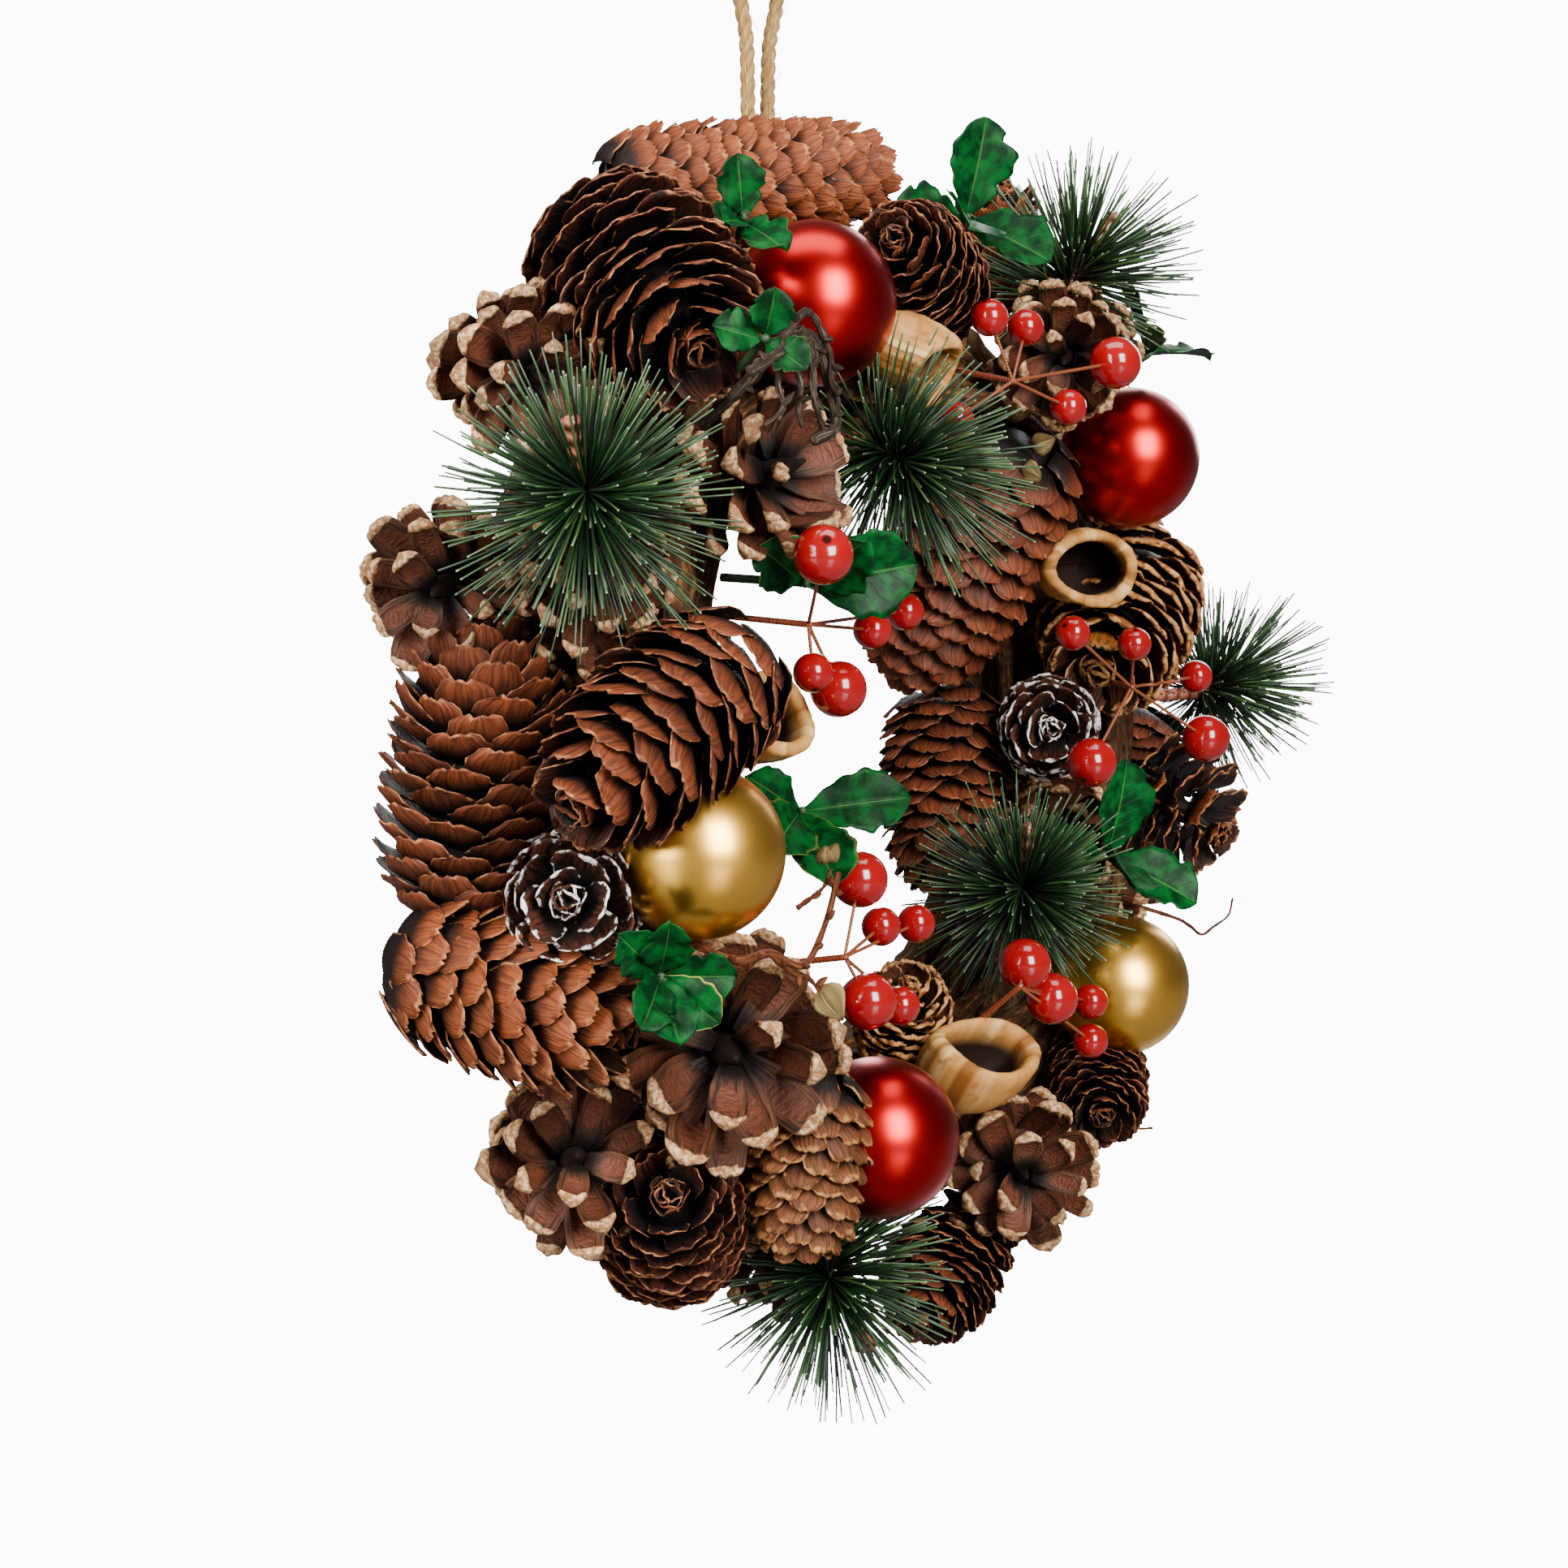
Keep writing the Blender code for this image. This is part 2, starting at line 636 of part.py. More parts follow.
def leaf_points(root, direction, normal, length, width, arch, fold):
    """Rows of three points along a leaf: edge, rib, edge."""
    side = direction.cross(normal).normalized()
    rows = []
    for along in (0.0, 0.3, 0.62, 0.9):
        half = width / 2 * max(0.08, math.sin(math.pi * along ** 0.85) ** 0.75)
        drop = -arch * length * along ** 2
        rib = root + (direction * length * along + normal * drop) * MM
        lift = normal * fold * half * MM
        rows.append((rib + side * half * MM + lift, rib, rib - side * half * MM + lift))
    return rows


def leaf_samples(rows, tip):
    """Points spread over a leaf, close enough together that no wire slips between them."""
    points = [tip]
    steps = 4
    for near, far in zip(rows, rows[1:]):
        for i in range(steps):
            edge, rib, other = [a.lerp(b, (i + 1) / steps) for a, b in zip(near, far)]
            for j in range(steps + 1):
                points += [rib.lerp(edge, j / steps), rib.lerp(other, j / steps)]
    return points


def leaf_blade(name, rows, normal, tip, thick, home):
    """A blade that is thickest along its rib and thins to its edges, which both faces share."""
    bm = bmesh.new()
    shift = normal * thick / 2 * MM
    left = [bm.verts.new(row[0]) for row in rows]
    right = [bm.verts.new(row[2]) for row in rows]
    upper = [bm.verts.new(row[1] + shift) for row in rows]
    lower = [bm.verts.new(row[1] - shift) for row in rows]
    point = bm.verts.new(tip)
    round_rib = (left, upper, right, lower)
    for near, far in zip(round_rib, round_rib[1:] + round_rib[:1]):
        for i in range(len(rows) - 1):
            bm.faces.new((near[i], near[i + 1], far[i + 1]))
            bm.faces.new((near[i], far[i + 1], far[i]))
        bm.faces.new((near[-1], point, far[-1]))
    bm.faces.new((upper[0], left[0], lower[0]))
    bm.faces.new((lower[0], right[0], upper[0]))
    return from_bmesh(bm, name, home)


def leafy_sprig(name, fork, look, length, width, count, crowd, home, helpers, dice):
    fork_at = crowd.push_clear(spot(fork), 3.2)
    grow = way(look)
    side, up = across(grow)
    root, knee = rooted(crowd, fork_at, STEM_THICK)
    pieces = [wire(name, [knee, fork_at, fork_at + grow * 2.2 * MM], STEM_THICK, home, root=root)]
    made = 0
    for number in range(count * 12):
        if made == count:
            break
        turn = 2.4 * number + dice.uniform(-0.2, 0.2)
        flat = side * math.cos(turn) + up * math.sin(turn)
        lean = 0.25 + 0.35 * (number % 4)
        for size in (1.0, 0.82, 0.66):
            direction = (flat + grow * lean).normalized()
            normal = (grow - direction * grow.dot(direction)).normalized()
            start = fork_at + (direction * 0.25 + grow * (0.15 + 0.23 * made)) * MM
            rows = leaf_points(start, direction, normal, length * size, width * size, 0.12, 0.3)
            tip = rows[-1][1] + direction * length * 0.05 * MM
            if all(crowd.near(p, 1.0) >= 0.9 for p in leaf_samples(rows, tip)):
                pieces.append(leaf_blade(name + "_leaf_%d" % number, rows, normal, tip, LEAF_THICK, helpers))
                made += 1
                break
    return fuse(pieces)


# Needle sprays

def needle_spray(name, heart, look, length, crowd, home, dice, sides=7, rings=10):
    core_length, core_width, end_length = 15.0, 3.6, 13.0
    grow = way(look)
    centre = crowd.push_clear(spot(heart), 3.0)
    side, up = across(grow)
    root, knee = rooted(crowd, centre - grow * 2.5 * MM, core_width)
    loops = []
    bm = bmesh.new()
    for i in range(rings + 1):
        height = core_length * (i / rings - 0.15)
        shift = 0.5 * (i % 2)
        ring = []
        for j in range(sides):
            turn = 2 * math.pi * (j + shift) / sides
            flat = side * math.cos(turn) + up * math.sin(turn)
            ring.append(centre + (flat * core_width / 2 + grow * height) * MM)
        loops.append(ring)
    verts = [[bm.verts.new(p) for p in ring] for ring in loops]
    for i in range(rings):
        lean = math.radians(-25 + 95 * i / (rings - 1))
        for j in range(sides):
            k = (j + 1) % sides
            step = 1 if i % 2 else 0
            corners = [verts[i][j], verts[i][k], verts[i + 1][(k if not step else (j + 2) % sides)],
                       verts[i + 1][(j if not step else k)]]
            middle = sum((v.co for v in corners), Vector()) / 4
            flat = middle - centre
            flat = (flat - grow * flat.dot(grow)).normalized()
            spread = Vector([dice.uniform(-0.10, 0.10) for _ in range(3)])
            direction = (flat * math.cos(lean) + grow * math.sin(lean) + spread).normalized()
            wanted = length * dice.uniform(0.86, 1.08)
            run = crowd.clear_length(middle, direction, wanted, 1.0)
            if run < 9.0:
                bm.faces.new(corners[:3])
                bm.faces.new((corners[0], corners[2], corners[3]))
                continue
            tip = bm.verts.new(middle + direction * run * MM)
            for a, b in zip(corners, corners[1:] + corners[:1]):
                bm.faces.new((a, b, tip))
    first, last = bm.verts.new(root), bm.verts.new(centre + grow * (core_length + end_length) * MM)
    for j in range(sides):
        k = (j + 1) % sides
        bm.faces.new((first, verts[0][k], verts[0][j]))
        bm.faces.new((last, verts[-1][j], verts[-1][k]))
    return from_bmesh(bm, name, home)


def twig(name, thick, points, crowd, home):
    knots = [crowd.push_clear(spot(p), thick / 2 + 0.8) for p in points]
    route = []
    for near, far in zip(knots, knots[1:]):
        route += crowd.clear_route(near, far, thick / 2 + 0.35)[:-1]
    route.append(knots[-1])
    root, knee = rooted(crowd, route[0], thick)
    if (knee - route[0]).length < thick * MM:
        route.pop(0)
    return wire(name, [knee, *route], thick, home, sides=6, root=root)


# Jute loop

def jute_loop(home):
    """Two strands that rise from the ring's top and meet in a round bight."""
    half_foot, half_top = 4.4, 8.5
    low, high = 116.4, LOOP_RISE - CORD_THICK / 2 - half_top
    route = []
    steps = 7
    for i in range(steps):
        share = i / steps
        ease = share ** 10
        route.append((half_foot + (half_top - half_foot) * ease, low + (high - low) * share))
    bend_steps = 8
    for i in range(bend_steps):
        turn = math.pi * i / (bend_steps - 1)
        route.append((half_top * math.cos(turn), high + half_top * math.sin(turn)))
    for right, up in route[steps - 1::-1]:
        route.append((-right, up))
    curve = bpy.data.curves.new("jute_loop", "CURVE")
    curve.dimensions = "3D"
    curve.bevel_depth = CORD_THICK / 2 * MM
    curve.bevel_resolution = 2
    curve.use_fill_caps = True
    spline = curve.splines.new("POLY")
    spline.points.add(len(route) - 1)
    for point, (right, up) in zip(spline.points, route):
        point.co = (*spot((right, LOOP_BACK, up)), 1.0)
    cord = bpy.data.objects.new("jute_loop", curve)
    home.objects.link(cord)
    return cord


def swell(thing, distance):
    """Moves a mesh's points out along their normals."""
    bm = bmesh.new()
    bm.from_mesh(thing.data)
    bm.normal_update()
    for vert in bm.verts:
        vert.co += vert.normal * distance * MM
    bm.to_mesh(thing.data)
    bm.free()


def box_of(thing):
    corners = [vert.co for vert in thing.data.vertices]
    return ([min(c[i] for c in corners) for i in range(3)], [max(c[i] for c in corners) for i in range(3)])


def boxes_meet(one, other):
    return all(one[0][i] <= other[1][i] and other[0][i] <= one[1][i] for i in range(3))


def trim(thing, cutters):
    """Cuts a piece back from each neighbour whose box it meets."""
    for cutter in cutters:
        if boxes_meet(box_of(thing), box_of(cutter)):
            thing = boolean(thing, cutter, "DIFFERENCE")
    keep_largest(thing)
    weld(thing)
    return thing


def build():
    clear_scene()
    home = collection("pinecone_wreath")
    helpers = collection("cutters")
    dice = random.Random(7)
    crowd = Crowd()
    hulls = []

    def finish(thing, colour):
        paint(thing, colour)
        crowd.add(thing)

    balls = []
    for name, colour, place in BALLS:
        balls.append(ball(name, place, BALL_WIDTH, home))
        hulls.append(ball(name + "_hull", place, BALL_WIDTH + 3 * GAP, helpers))
        paint(balls[-1], colour)
    cups = []
    for name, mouth, look, width, depth, narrow in PODS:
        cup = seed_cup(name, mouth, look, width, depth, narrow, home)
        cups.append(trim(cup, hulls[:len(BALLS)]))
        hulls.append(seed_cup(name + "_hull", mouth, look, width, depth, narrow, helpers, hull=True))
        paint(cups[-1], "husk")
    ring_hull = vine_ring("vine_ring_hull", helpers)
    swell(ring_hull, GAP * 1.2)
    hulls.append(ring_hull)
    for thing in balls + cups:
        crowd.add(thing)

    for row in CONES:
        made = trim(cone(*row, home), hulls)
        finish(made, KINDS[row[1]]["colour"])
        hulls.append(cone_hull(row[0] + "_hull", *row[1:], helpers))

    hulls.remove(ring_hull)
    bound = [trim(vine_ring("vine_ring", home), hulls[:len(BALLS) + len(PODS)])]
    for number, row in enumerate(FILLERS):
        filler = trim(cone("filler_%d" % number, "open", *row, helpers), hulls)
        hulls.append(cone_hull("filler_%d_hull" % number, "open", *row, helpers))
        bound.append(filler)
    ring = fuse(bound)
    keep_largest(ring)
    finish(ring, "vine")

    for name, fork, berries in BERRIES:
        finish(berry_spray(name, fork, berries, crowd, home, helpers), "berry")
    for name, thick, points in TWIGS:
        finish(twig(name, thick, points, crowd, home), "twig")
    for name, fork, look, length, width, count in SPRIGS:
        finish(leafy_sprig(name, fork, look, length, width, count, crowd, home, helpers, dice), "leaf")
    for number, (name, heart, look, length) in enumerate(SPRAYS):
        own_dice = random.Random(150 + number)
        finish(needle_spray(name, heart, look, length, crowd, home, own_dice), "needle")
    paint(jute_loop(home), "jute")

    for hull in list(helpers.objects):
        bpy.data.objects.remove(hull, do_unlink=True)
    for thing in home.objects:
        if thing.type == "MESH":
            thing.data.shade_smooth()
            thing.data.set_sharp_from_angle(angle=math.radians(35))


build()
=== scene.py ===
import math
import random
import bpy
import numpy as np
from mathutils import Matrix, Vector
from mathutils.bvhtree import BVHTree


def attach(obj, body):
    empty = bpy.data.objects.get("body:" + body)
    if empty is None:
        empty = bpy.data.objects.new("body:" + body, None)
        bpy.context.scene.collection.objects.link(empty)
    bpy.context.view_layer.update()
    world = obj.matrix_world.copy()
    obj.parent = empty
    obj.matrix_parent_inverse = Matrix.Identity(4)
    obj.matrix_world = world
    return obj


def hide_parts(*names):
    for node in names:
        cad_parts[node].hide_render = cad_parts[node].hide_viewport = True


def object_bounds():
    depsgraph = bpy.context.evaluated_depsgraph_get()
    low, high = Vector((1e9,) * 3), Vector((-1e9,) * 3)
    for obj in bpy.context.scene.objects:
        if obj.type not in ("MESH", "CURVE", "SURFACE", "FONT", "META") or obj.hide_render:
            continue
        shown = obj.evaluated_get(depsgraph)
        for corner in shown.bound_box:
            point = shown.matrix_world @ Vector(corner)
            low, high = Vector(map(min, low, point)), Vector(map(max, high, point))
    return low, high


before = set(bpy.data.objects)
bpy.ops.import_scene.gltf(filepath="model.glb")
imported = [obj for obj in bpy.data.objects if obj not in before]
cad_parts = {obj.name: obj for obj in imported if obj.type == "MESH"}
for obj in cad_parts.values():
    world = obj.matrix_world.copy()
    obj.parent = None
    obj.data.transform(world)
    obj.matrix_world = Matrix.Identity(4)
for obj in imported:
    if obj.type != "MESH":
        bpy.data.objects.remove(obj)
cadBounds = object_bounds()

# Lengths are in millimetres, and a mesh becomes metres when it is made.

mm, perMetre = 0.001, 1000
goldenTurn = 2.39996
wreath = {"depth": 34.0, "drop": 206.0, "ring": 102.0, "ringForward": -8.0}  # its heart and its ring


def heart(place):  # a place given from the wreath's heart: right, forward, up
    right, forward, up = place
    return np.array([right, -wreath["depth"] - forward, up - wreath["drop"]])


def way(place):
    right, forward, up = place
    return unit(np.array([right, -forward, up], float))


def unit(v):
    return v / max(np.linalg.norm(v), 1e-9)


def across(axis):  # two directions square to an axis
    guide = np.array([0, 0, 1.0]) if abs(axis[2]) < 0.9 else np.array([0, 1.0, 0])
    first = unit(np.cross(axis, guide))
    return first, unit(np.cross(axis, first))


def spun(first, second, turn):  # a direction turned from the first toward the second
    return first * math.cos(turn) + second * math.sin(turn)


def circle(first, second, turn):
    return np.cos(turn)[:, None] * first + np.sin(turn)[:, None] * second


def times(values, direction):
    return values[..., None] * direction


def ramp(value, start, span):
    return np.clip((value - start) / span, 0, 1)


def lengths(path):  # how far along a path each of its points lies
    return np.concatenate([[0], np.cumsum(np.linalg.norm(np.diff(path, axis=0), axis=1))])


def sheet(rows, cols):  # across and along, for each point of a grid
    v = np.array(rows)[:, None] * np.ones(cols)
    return np.linspace(-1, 1, cols)[None, :] * np.ones((len(rows), 1)), v


def linear(code):  # sRGB hex to linear colour
    parts = [int(code[i:i + 2], 16) / 255 for i in (1, 3, 5)]
    return tuple(c / 12.92 if c <= 0.04045 else ((c + 0.055) / 1.055) ** 2.4 for c in parts) + (1.0,)


# Meshes. Each point keeps a grain: across, along, a seed, and its inner face or its run in mm.

class Heap:  # many small closed forms gathered into one mesh
    def __init__(self):
        self.verts, self.grain, self.faces, self.count = [], [], [], 0

    def add(self, verts, faces, grain):
        self.verts.append(verts)
        self.grain.append(grain)
        self.faces += [[i + self.count for i in face] for face in faces]
        self.count += len(verts)

    def make(self, name, material, slot, nodes=()):
        mesh = bpy.data.meshes.new(name)
        mesh.from_pydata((np.concatenate(self.verts) * mm).tolist(), [], self.faces)
        mesh.shade_smooth()
        layer = mesh.attributes.new("grain", "FLOAT_COLOR", "POINT")
        layer.data.foreach_set("color", np.concatenate(self.grain).astype(np.float32).ravel())
        mesh.materials.append(material)
        piece = bpy.data.objects.new(name, mesh)
        bpy.context.scene.collection.objects.link(piece)
        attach(piece, "root")
        if nodes:
            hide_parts(*nodes)
        return piece


def plate(heap, upper, lower, u, v, seed):  # a closed thin plate between two grids of points
    rows, cols = u.shape
    n = rows * cols
    g = np.arange(n).reshape(rows, cols)
    top = np.stack([g[:-1, :-1], g[:-1, 1:], g[1:, 1:], g[1:, :-1]], -1).reshape(-1, 4)
    rim = np.concatenate([g[0, :-1], g[:-1, -1], g[-1, :0:-1], g[:0:-1, 0]])
    ahead = np.roll(rim, -1)
    faces = np.concatenate([top, top[:, ::-1] + n, np.stack([ahead, rim, rim + n, ahead + n], -1)])
    grain = np.stack([u.ravel(), v.ravel(), np.full(n, seed), np.zeros(n)], -1)
    under = grain + np.array([0, 0, 0, 1.0])
    heap.add(np.concatenate([upper.reshape(-1, 3), lower.reshape(-1, 3)]), faces.tolist(),
             np.concatenate([grain, under]))


def smooth(points, step):  # an even curve through points
    points = np.asarray(points, float)
    if len(points) == 2:
        count = max(3, int(np.linalg.norm(points[1] - points[0]) / step) + 2)
        return points[0] + np.linspace(0, 1, count)[:, None] * (points[1] - points[0])
    ends = np.vstack([2 * points[0] - points[1], points, 2 * points[-1] - points[-2]])
    out = []
    for a, b, c, d in zip(ends, ends[1:], ends[2:], ends[3:]):
        count = max(2, int(np.linalg.norm(c - b) / step) + 1)
        t = np.linspace(0, 1, count, endpoint=False)[:, None]
        out.append(0.5 * (2 * b + (c - a) * t + (2 * a - 5 * b + 4 * c - d) * t * t
                          + (3 * b - a - 3 * c + d) * t ** 3))
    return np.vstack(out + [points[-1:]])


def skin(rings, sides):  # faces of a stack of rings with a pole at each end
    faces = []
    start, end, last = rings * sides, rings * sides + 1, (rings - 1) * sides
    for j in range(sides):
        k = (j + 1) % sides
        faces += [(i + j, i + k, i + sides + k, i + sides + j) for i in range(0, last, sides)]
        faces += [(start, k, j), (end, last + j, last + k)]
    return faces


def tube(heap, path, radii, sides, seed):
    path = np.asarray(path, float)
    n = len(path)
    radii = np.broadcast_to(np.asarray(radii, float), (n,))
    tangents = np.gradient(path, axis=0)
    side = across(unit(tangents[0]))[0]
    turn = np.linspace(0, 2 * math.pi, sides, endpoint=False)
    run = lengths(path)
    verts, grain = [], []
    for i in range(n):
        ahead = unit(tangents[i])
        side = unit(side - ahead * side.dot(ahead))
        verts.append(path[i] + circle(side, np.cross(ahead, side), turn) * radii[i])
        grain.append(np.stack([turn / math.pi - 1, np.full(sides, run[i] / run[-1]),
                               np.full(sides, seed), np.full(sides, run[i])], -1))
    verts += [path[:1] - unit(tangents[0]) * radii[0] * 0.5,
              path[-1:] + unit(tangents[-1]) * radii[-1] * 0.5]
    grain += [np.array([[0, 0, seed, 0.0]]), np.array([[0, 1, seed, run[-1]]])]
    heap.add(np.vstack(verts), skin(n, sides), np.vstack(grain))


def turned(heap, centre, axis, profile, sides, seed=0.0, squeeze=1.0, rough=None, span=1.0):
    # A turned form. The profile is (radius, height) from pole to pole, with radius 0 at both.
    first, second = across(axis)
    turn = np.linspace(0, 2 * math.pi, sides, endpoint=False)
    ring = circle(first, second * squeeze, turn)
    body = profile[1:-1]
    verts, grain = [], []
    for i, (radius, height) in enumerate(body):
        spread = radius if rough is None else radius * rough(turn, i / len(body))[:, None]
        verts.append(centre + ring * spread + axis * height)
        grain.append(np.stack([turn / math.pi - 1, np.full(sides, span * i / len(body)),
                               np.full(sides, seed), np.zeros(sides)], -1))
    verts += [(centre + axis * profile[0][1])[None], (centre + axis * profile[-1][1])[None]]
    grain += [np.array([[0, 0, seed, 0.0]]), np.array([[0, span, seed, 0.0]])]
    heap.add(np.vstack(verts), skin(len(body), sides), np.vstack(grain))


def camel(node):
    first, *rest = node.split("_")
    return first + "".join(word.capitalize() for word in rest)


# Materials

class Paint:  # one material, and the few kinds of node that its look is built from
    def __init__(self, name, values, world=None):
        self.made = world or bpy.data.materials.new(name)
        self.made.use_nodes = True
        self.tree = self.made.node_tree
        self.shader = self.tree.nodes["Background" if world else "Principled BSDF"]
        self.put(self.shader, values)

    def put(self, node, inputs):
        for key, value in inputs.items():
            if isinstance(value, bpy.types.NodeSocket):
                self.tree.links.new(value, node.inputs[key])
            else:
                node.inputs[key].default_value = linear(value) if isinstance(value, str) else value

    def add(self, kind, inputs, out=0, **settings):
        node = self.tree.nodes.new(kind)
        for key, value in settings.items():
            setattr(node, key, value)
        self.put(node, inputs)
        return node.outputs[out]

    def math(self, operation, *values):
        return self.add("ShaderNodeMath", dict(enumerate(values)), operation=operation)

    def fade(self, value, start, stop, low=0.0, high=1.0):
        return self.add("ShaderNodeMapRange", {0: value, 1: start, 2: stop, 3: low, 4: high},
                        interpolation_type="SMOOTHSTEP")

    def mix(self, share, first, second):
        return self.add("ShaderNodeMix", {0: share, 6: first, 7: second}, out=2, data_type="RGBA")

    def noise(self, place, scale, detail=3.0):
        return self.add("ShaderNodeTexNoise", {"Vector": place, "Scale": scale, "Detail": detail})

    def cloud(self, scale, detail=3.0):  # mottling fixed in the object's own space
        return self.noise(self.add("ShaderNodeTexCoord", {}, out="Object"), scale, detail)

    def streak(self, first, wide, second, long, seed, detail=4.0):  # noise drawn out along the grain
        spot = self.add("ShaderNodeCombineXYZ", {0: self.math("MULTIPLY", first, wide),
                                                 1: self.math("MULTIPLY", second, long),
                                                 2: self.math("MULTIPLY", seed, 43.0)})
        return self.noise(spot, 1.0, detail)

    def chance(self, seed):
        return self.add("ShaderNodeTexWhiteNoise", {1: seed}, noise_dimensions="1D")

    def bump(self, height, strength, distance, under=None):
        inputs = {"Height": height, "Strength": strength, "Distance": distance}
        return self.add("ShaderNodeBump", inputs if under is None else {**inputs, "Normal": under})

    def grain(self):
        place = self.add("ShaderNodeAttribute", {}, out="Vector", attribute_name="grain")
        parts = self.add("ShaderNodeSeparateXYZ", {0: place}).node.outputs
        return parts[0], parts[1], parts[2], place.node.outputs["Alpha"]

    def vary(self, tone, seed, low, high):  # each small form a little lighter or darker
        value = self.fade(self.chance(seed), 0, 1, low, high)
        return self.add("ShaderNodeHueSaturation", {"Color": tone, "Value": value})

    def shine(self, key, beside, seen):  # how strong it is beside the view and in it
        ray = self.add("ShaderNodeLightPath", {}, out="Is Camera Ray")
        self.put(self.shader, {key: self.fade(ray, 0, 1, beside, seen)})
        return self.made

    def finish(self, tone, normal=None):
        self.put(self.shader, {"Base Color": tone})
        if normal is not None:
            self.put(self.shader, {"Normal": normal})
        return self.made


# dried woody scale: shadowed dark root, streaked body, worn pale rim
def scaleMaterial(name, rough, root, rootShadeFrom, rootShadeTo, body, dark, inside, rim, rimFrom, rimTo, patchy,
                  vary):
    paint = Paint(name, {"Roughness": rough, "IOR": 1.45, "Specular IOR Level": 0.3})
    u, v, seed, inner = paint.grain()
    streak = paint.streak(u, 8.0, v, 2.5, seed)
    grained = paint.fade(streak, 0.33, 0.67)
    mottle = paint.cloud(420.0)
    edge = paint.math("MAXIMUM", paint.math("ABSOLUTE", u), v)
    worn = paint.math("ADD", edge, paint.math("MULTIPLY_ADD", mottle, patchy, patchy / -2))
    face = paint.mix(inner, paint.mix(grained, dark, body), paint.mix(grained, root, inside))
    # painted shade: each scale fades to the near-black root colour toward its foot, where the scales crowd
    # together
    deep = paint.mix(paint.fade(v, rootShadeFrom, rootShadeTo), root, face)
    varied = paint.vary(paint.mix(paint.fade(worn, rimFrom, rimTo), deep, rim), seed, 1 - vary, 1 + vary)
    coarse = paint.bump(streak, 0.8, 0.0006)
    return paint.finish(varied, paint.bump(mottle, 0.4, 0.0003, coarse))


def openScaleMaterial(look):  # open pine scale: painted shade darkening the root, red-brown hollow inside, swollen cream end
    paint = Paint(look["name"], {"Roughness": look["rough"], "IOR": 1.45, "Specular IOR Level": 0.35})
    u, v, seed, inner = paint.grain()
    streak = paint.streak(u, 9.0, v, 2.5, seed)
    wrinkle = paint.streak(u, 3.0, v, 24.0, seed, 2.0)
    mottle = paint.cloud(380.0)
    wood = paint.mix(paint.fade(streak, 0.33, 0.67), look["dark"], look["body"])
    aside = paint.math("MULTIPLY", u, 1.5)
    along = paint.math("MULTIPLY_ADD", v, 3.4, -2.15)
    far = paint.math("SQRT", paint.math("MULTIPLY_ADD", aside, aside, paint.math("MULTIPLY", along, along)))
    hollow = paint.math("MULTIPLY", inner, paint.fade(far, 1.0, 0.8))
    face = paint.mix(hollow, wood, paint.mix(wrinkle, look["hollowDark"], look["hollow"]))
    # painted shade: the scale fades to the near-black root colour toward its foot
    deep = paint.mix(paint.fade(v, 0.2, 0.5), look["root"], face)
    ragged = paint.math("ADD", v, paint.math("MULTIPLY_ADD", mottle, 0.16, -0.08))
    outer = paint.math("SUBTRACT", 1.0, inner)
    cap = paint.fade(paint.math("MULTIPLY_ADD", outer, 0.1, ragged), 0.915, 0.945)
    cream = paint.mix(paint.fade(paint.cloud(900.0), 0.4, 0.65), look["capDark"], look["cap"])
    varied = paint.vary(paint.mix(cap, deep, cream), seed, 1 - look["vary"], 1 + look["vary"])
    coarse = paint.bump(paint.mix(hollow, streak, wrinkle), 0.9, 0.0006)
    return paint.finish(varied, paint.bump(mottle, 0.4, 0.0003, coarse))


# dry bark or husk: fine lengthwise cracks over a mottled body
def barkMaterial(name, rough, dark, body, pale, lichen, deep, inside=None):
    paint = Paint(name, {"Roughness": rough, "IOR": 1.45, "Specular IOR Level": 0.25})
    u, v, seed, run = paint.grain()
    crack = paint.streak(u, 7.0, run, 0.2, seed, 5.0)
    mottle = paint.cloud(260.0, 4.0)
    tone = paint.mix(paint.fade(crack, 0.3, 0.5), dark, body)
    tone = paint.mix(paint.fade(crack, 0.5, 0.7), tone, pale)
    tone = paint.mix(paint.fade(mottle, 0.5, 0.7), tone, lichen)
    if inside:
        tone = paint.mix(paint.fade(v, 0.6, 0.7), tone, inside)
    return paint.finish(tone, paint.bump(mottle, 0.5, 0.0003, paint.bump(crack, 0.9, deep)))


# Camera

view = {"azimuth": -55.0, "distance": 690.0, "lens": 62.24, "aside": -21.0, "below": -10.5}
turnedBy = math.radians(view["azimuth"])
backWay = np.array([math.sin(turnedBy), -math.cos(turnedBy), 0])
rightWay = np.array([math.cos(turnedBy), math.sin(turnedBy), 0])


def seenFrom(aside, ahead, rise):  # a place from the wreath's heart, as one who looks at it sees it
    return heart((0, 0, 0)) + backWay * ahead + rightWay * aside + np.array([0, 0, rise])


def aimed(name, data, place, toward):
    thing = bpy.data.objects.new(name, data)
    thing.location = Vector(place * mm)
    thing.rotation_mode = "QUATERNION"
    thing.rotation_quaternion = Vector(toward).to_track_quat("-Z", "Y")
    bpy.context.scene.collection.objects.link(thing)
    return thing


eye = seenFrom(view["aside"], view["distance"], view["below"])
lens = bpy.data.cameras.new("camera")
lens.lens = view["lens"]
lens.sensor_width = 36.0
lens.clip_start = 0.01
bpy.context.scene.camera = aimed("camera", lens, eye, -backWay)

# Jute loop: three plies twisted together, and loose fibres

jute = {"thick": 4.0, "halfFoot": 4.4, "halfTop": 8.5, "low": 116.4, "rise": 206.0, "steps": 7, "bend": 8,
        "plies": 3, "ply": 1.0, "pitch": 12.0, "hairs": 200}


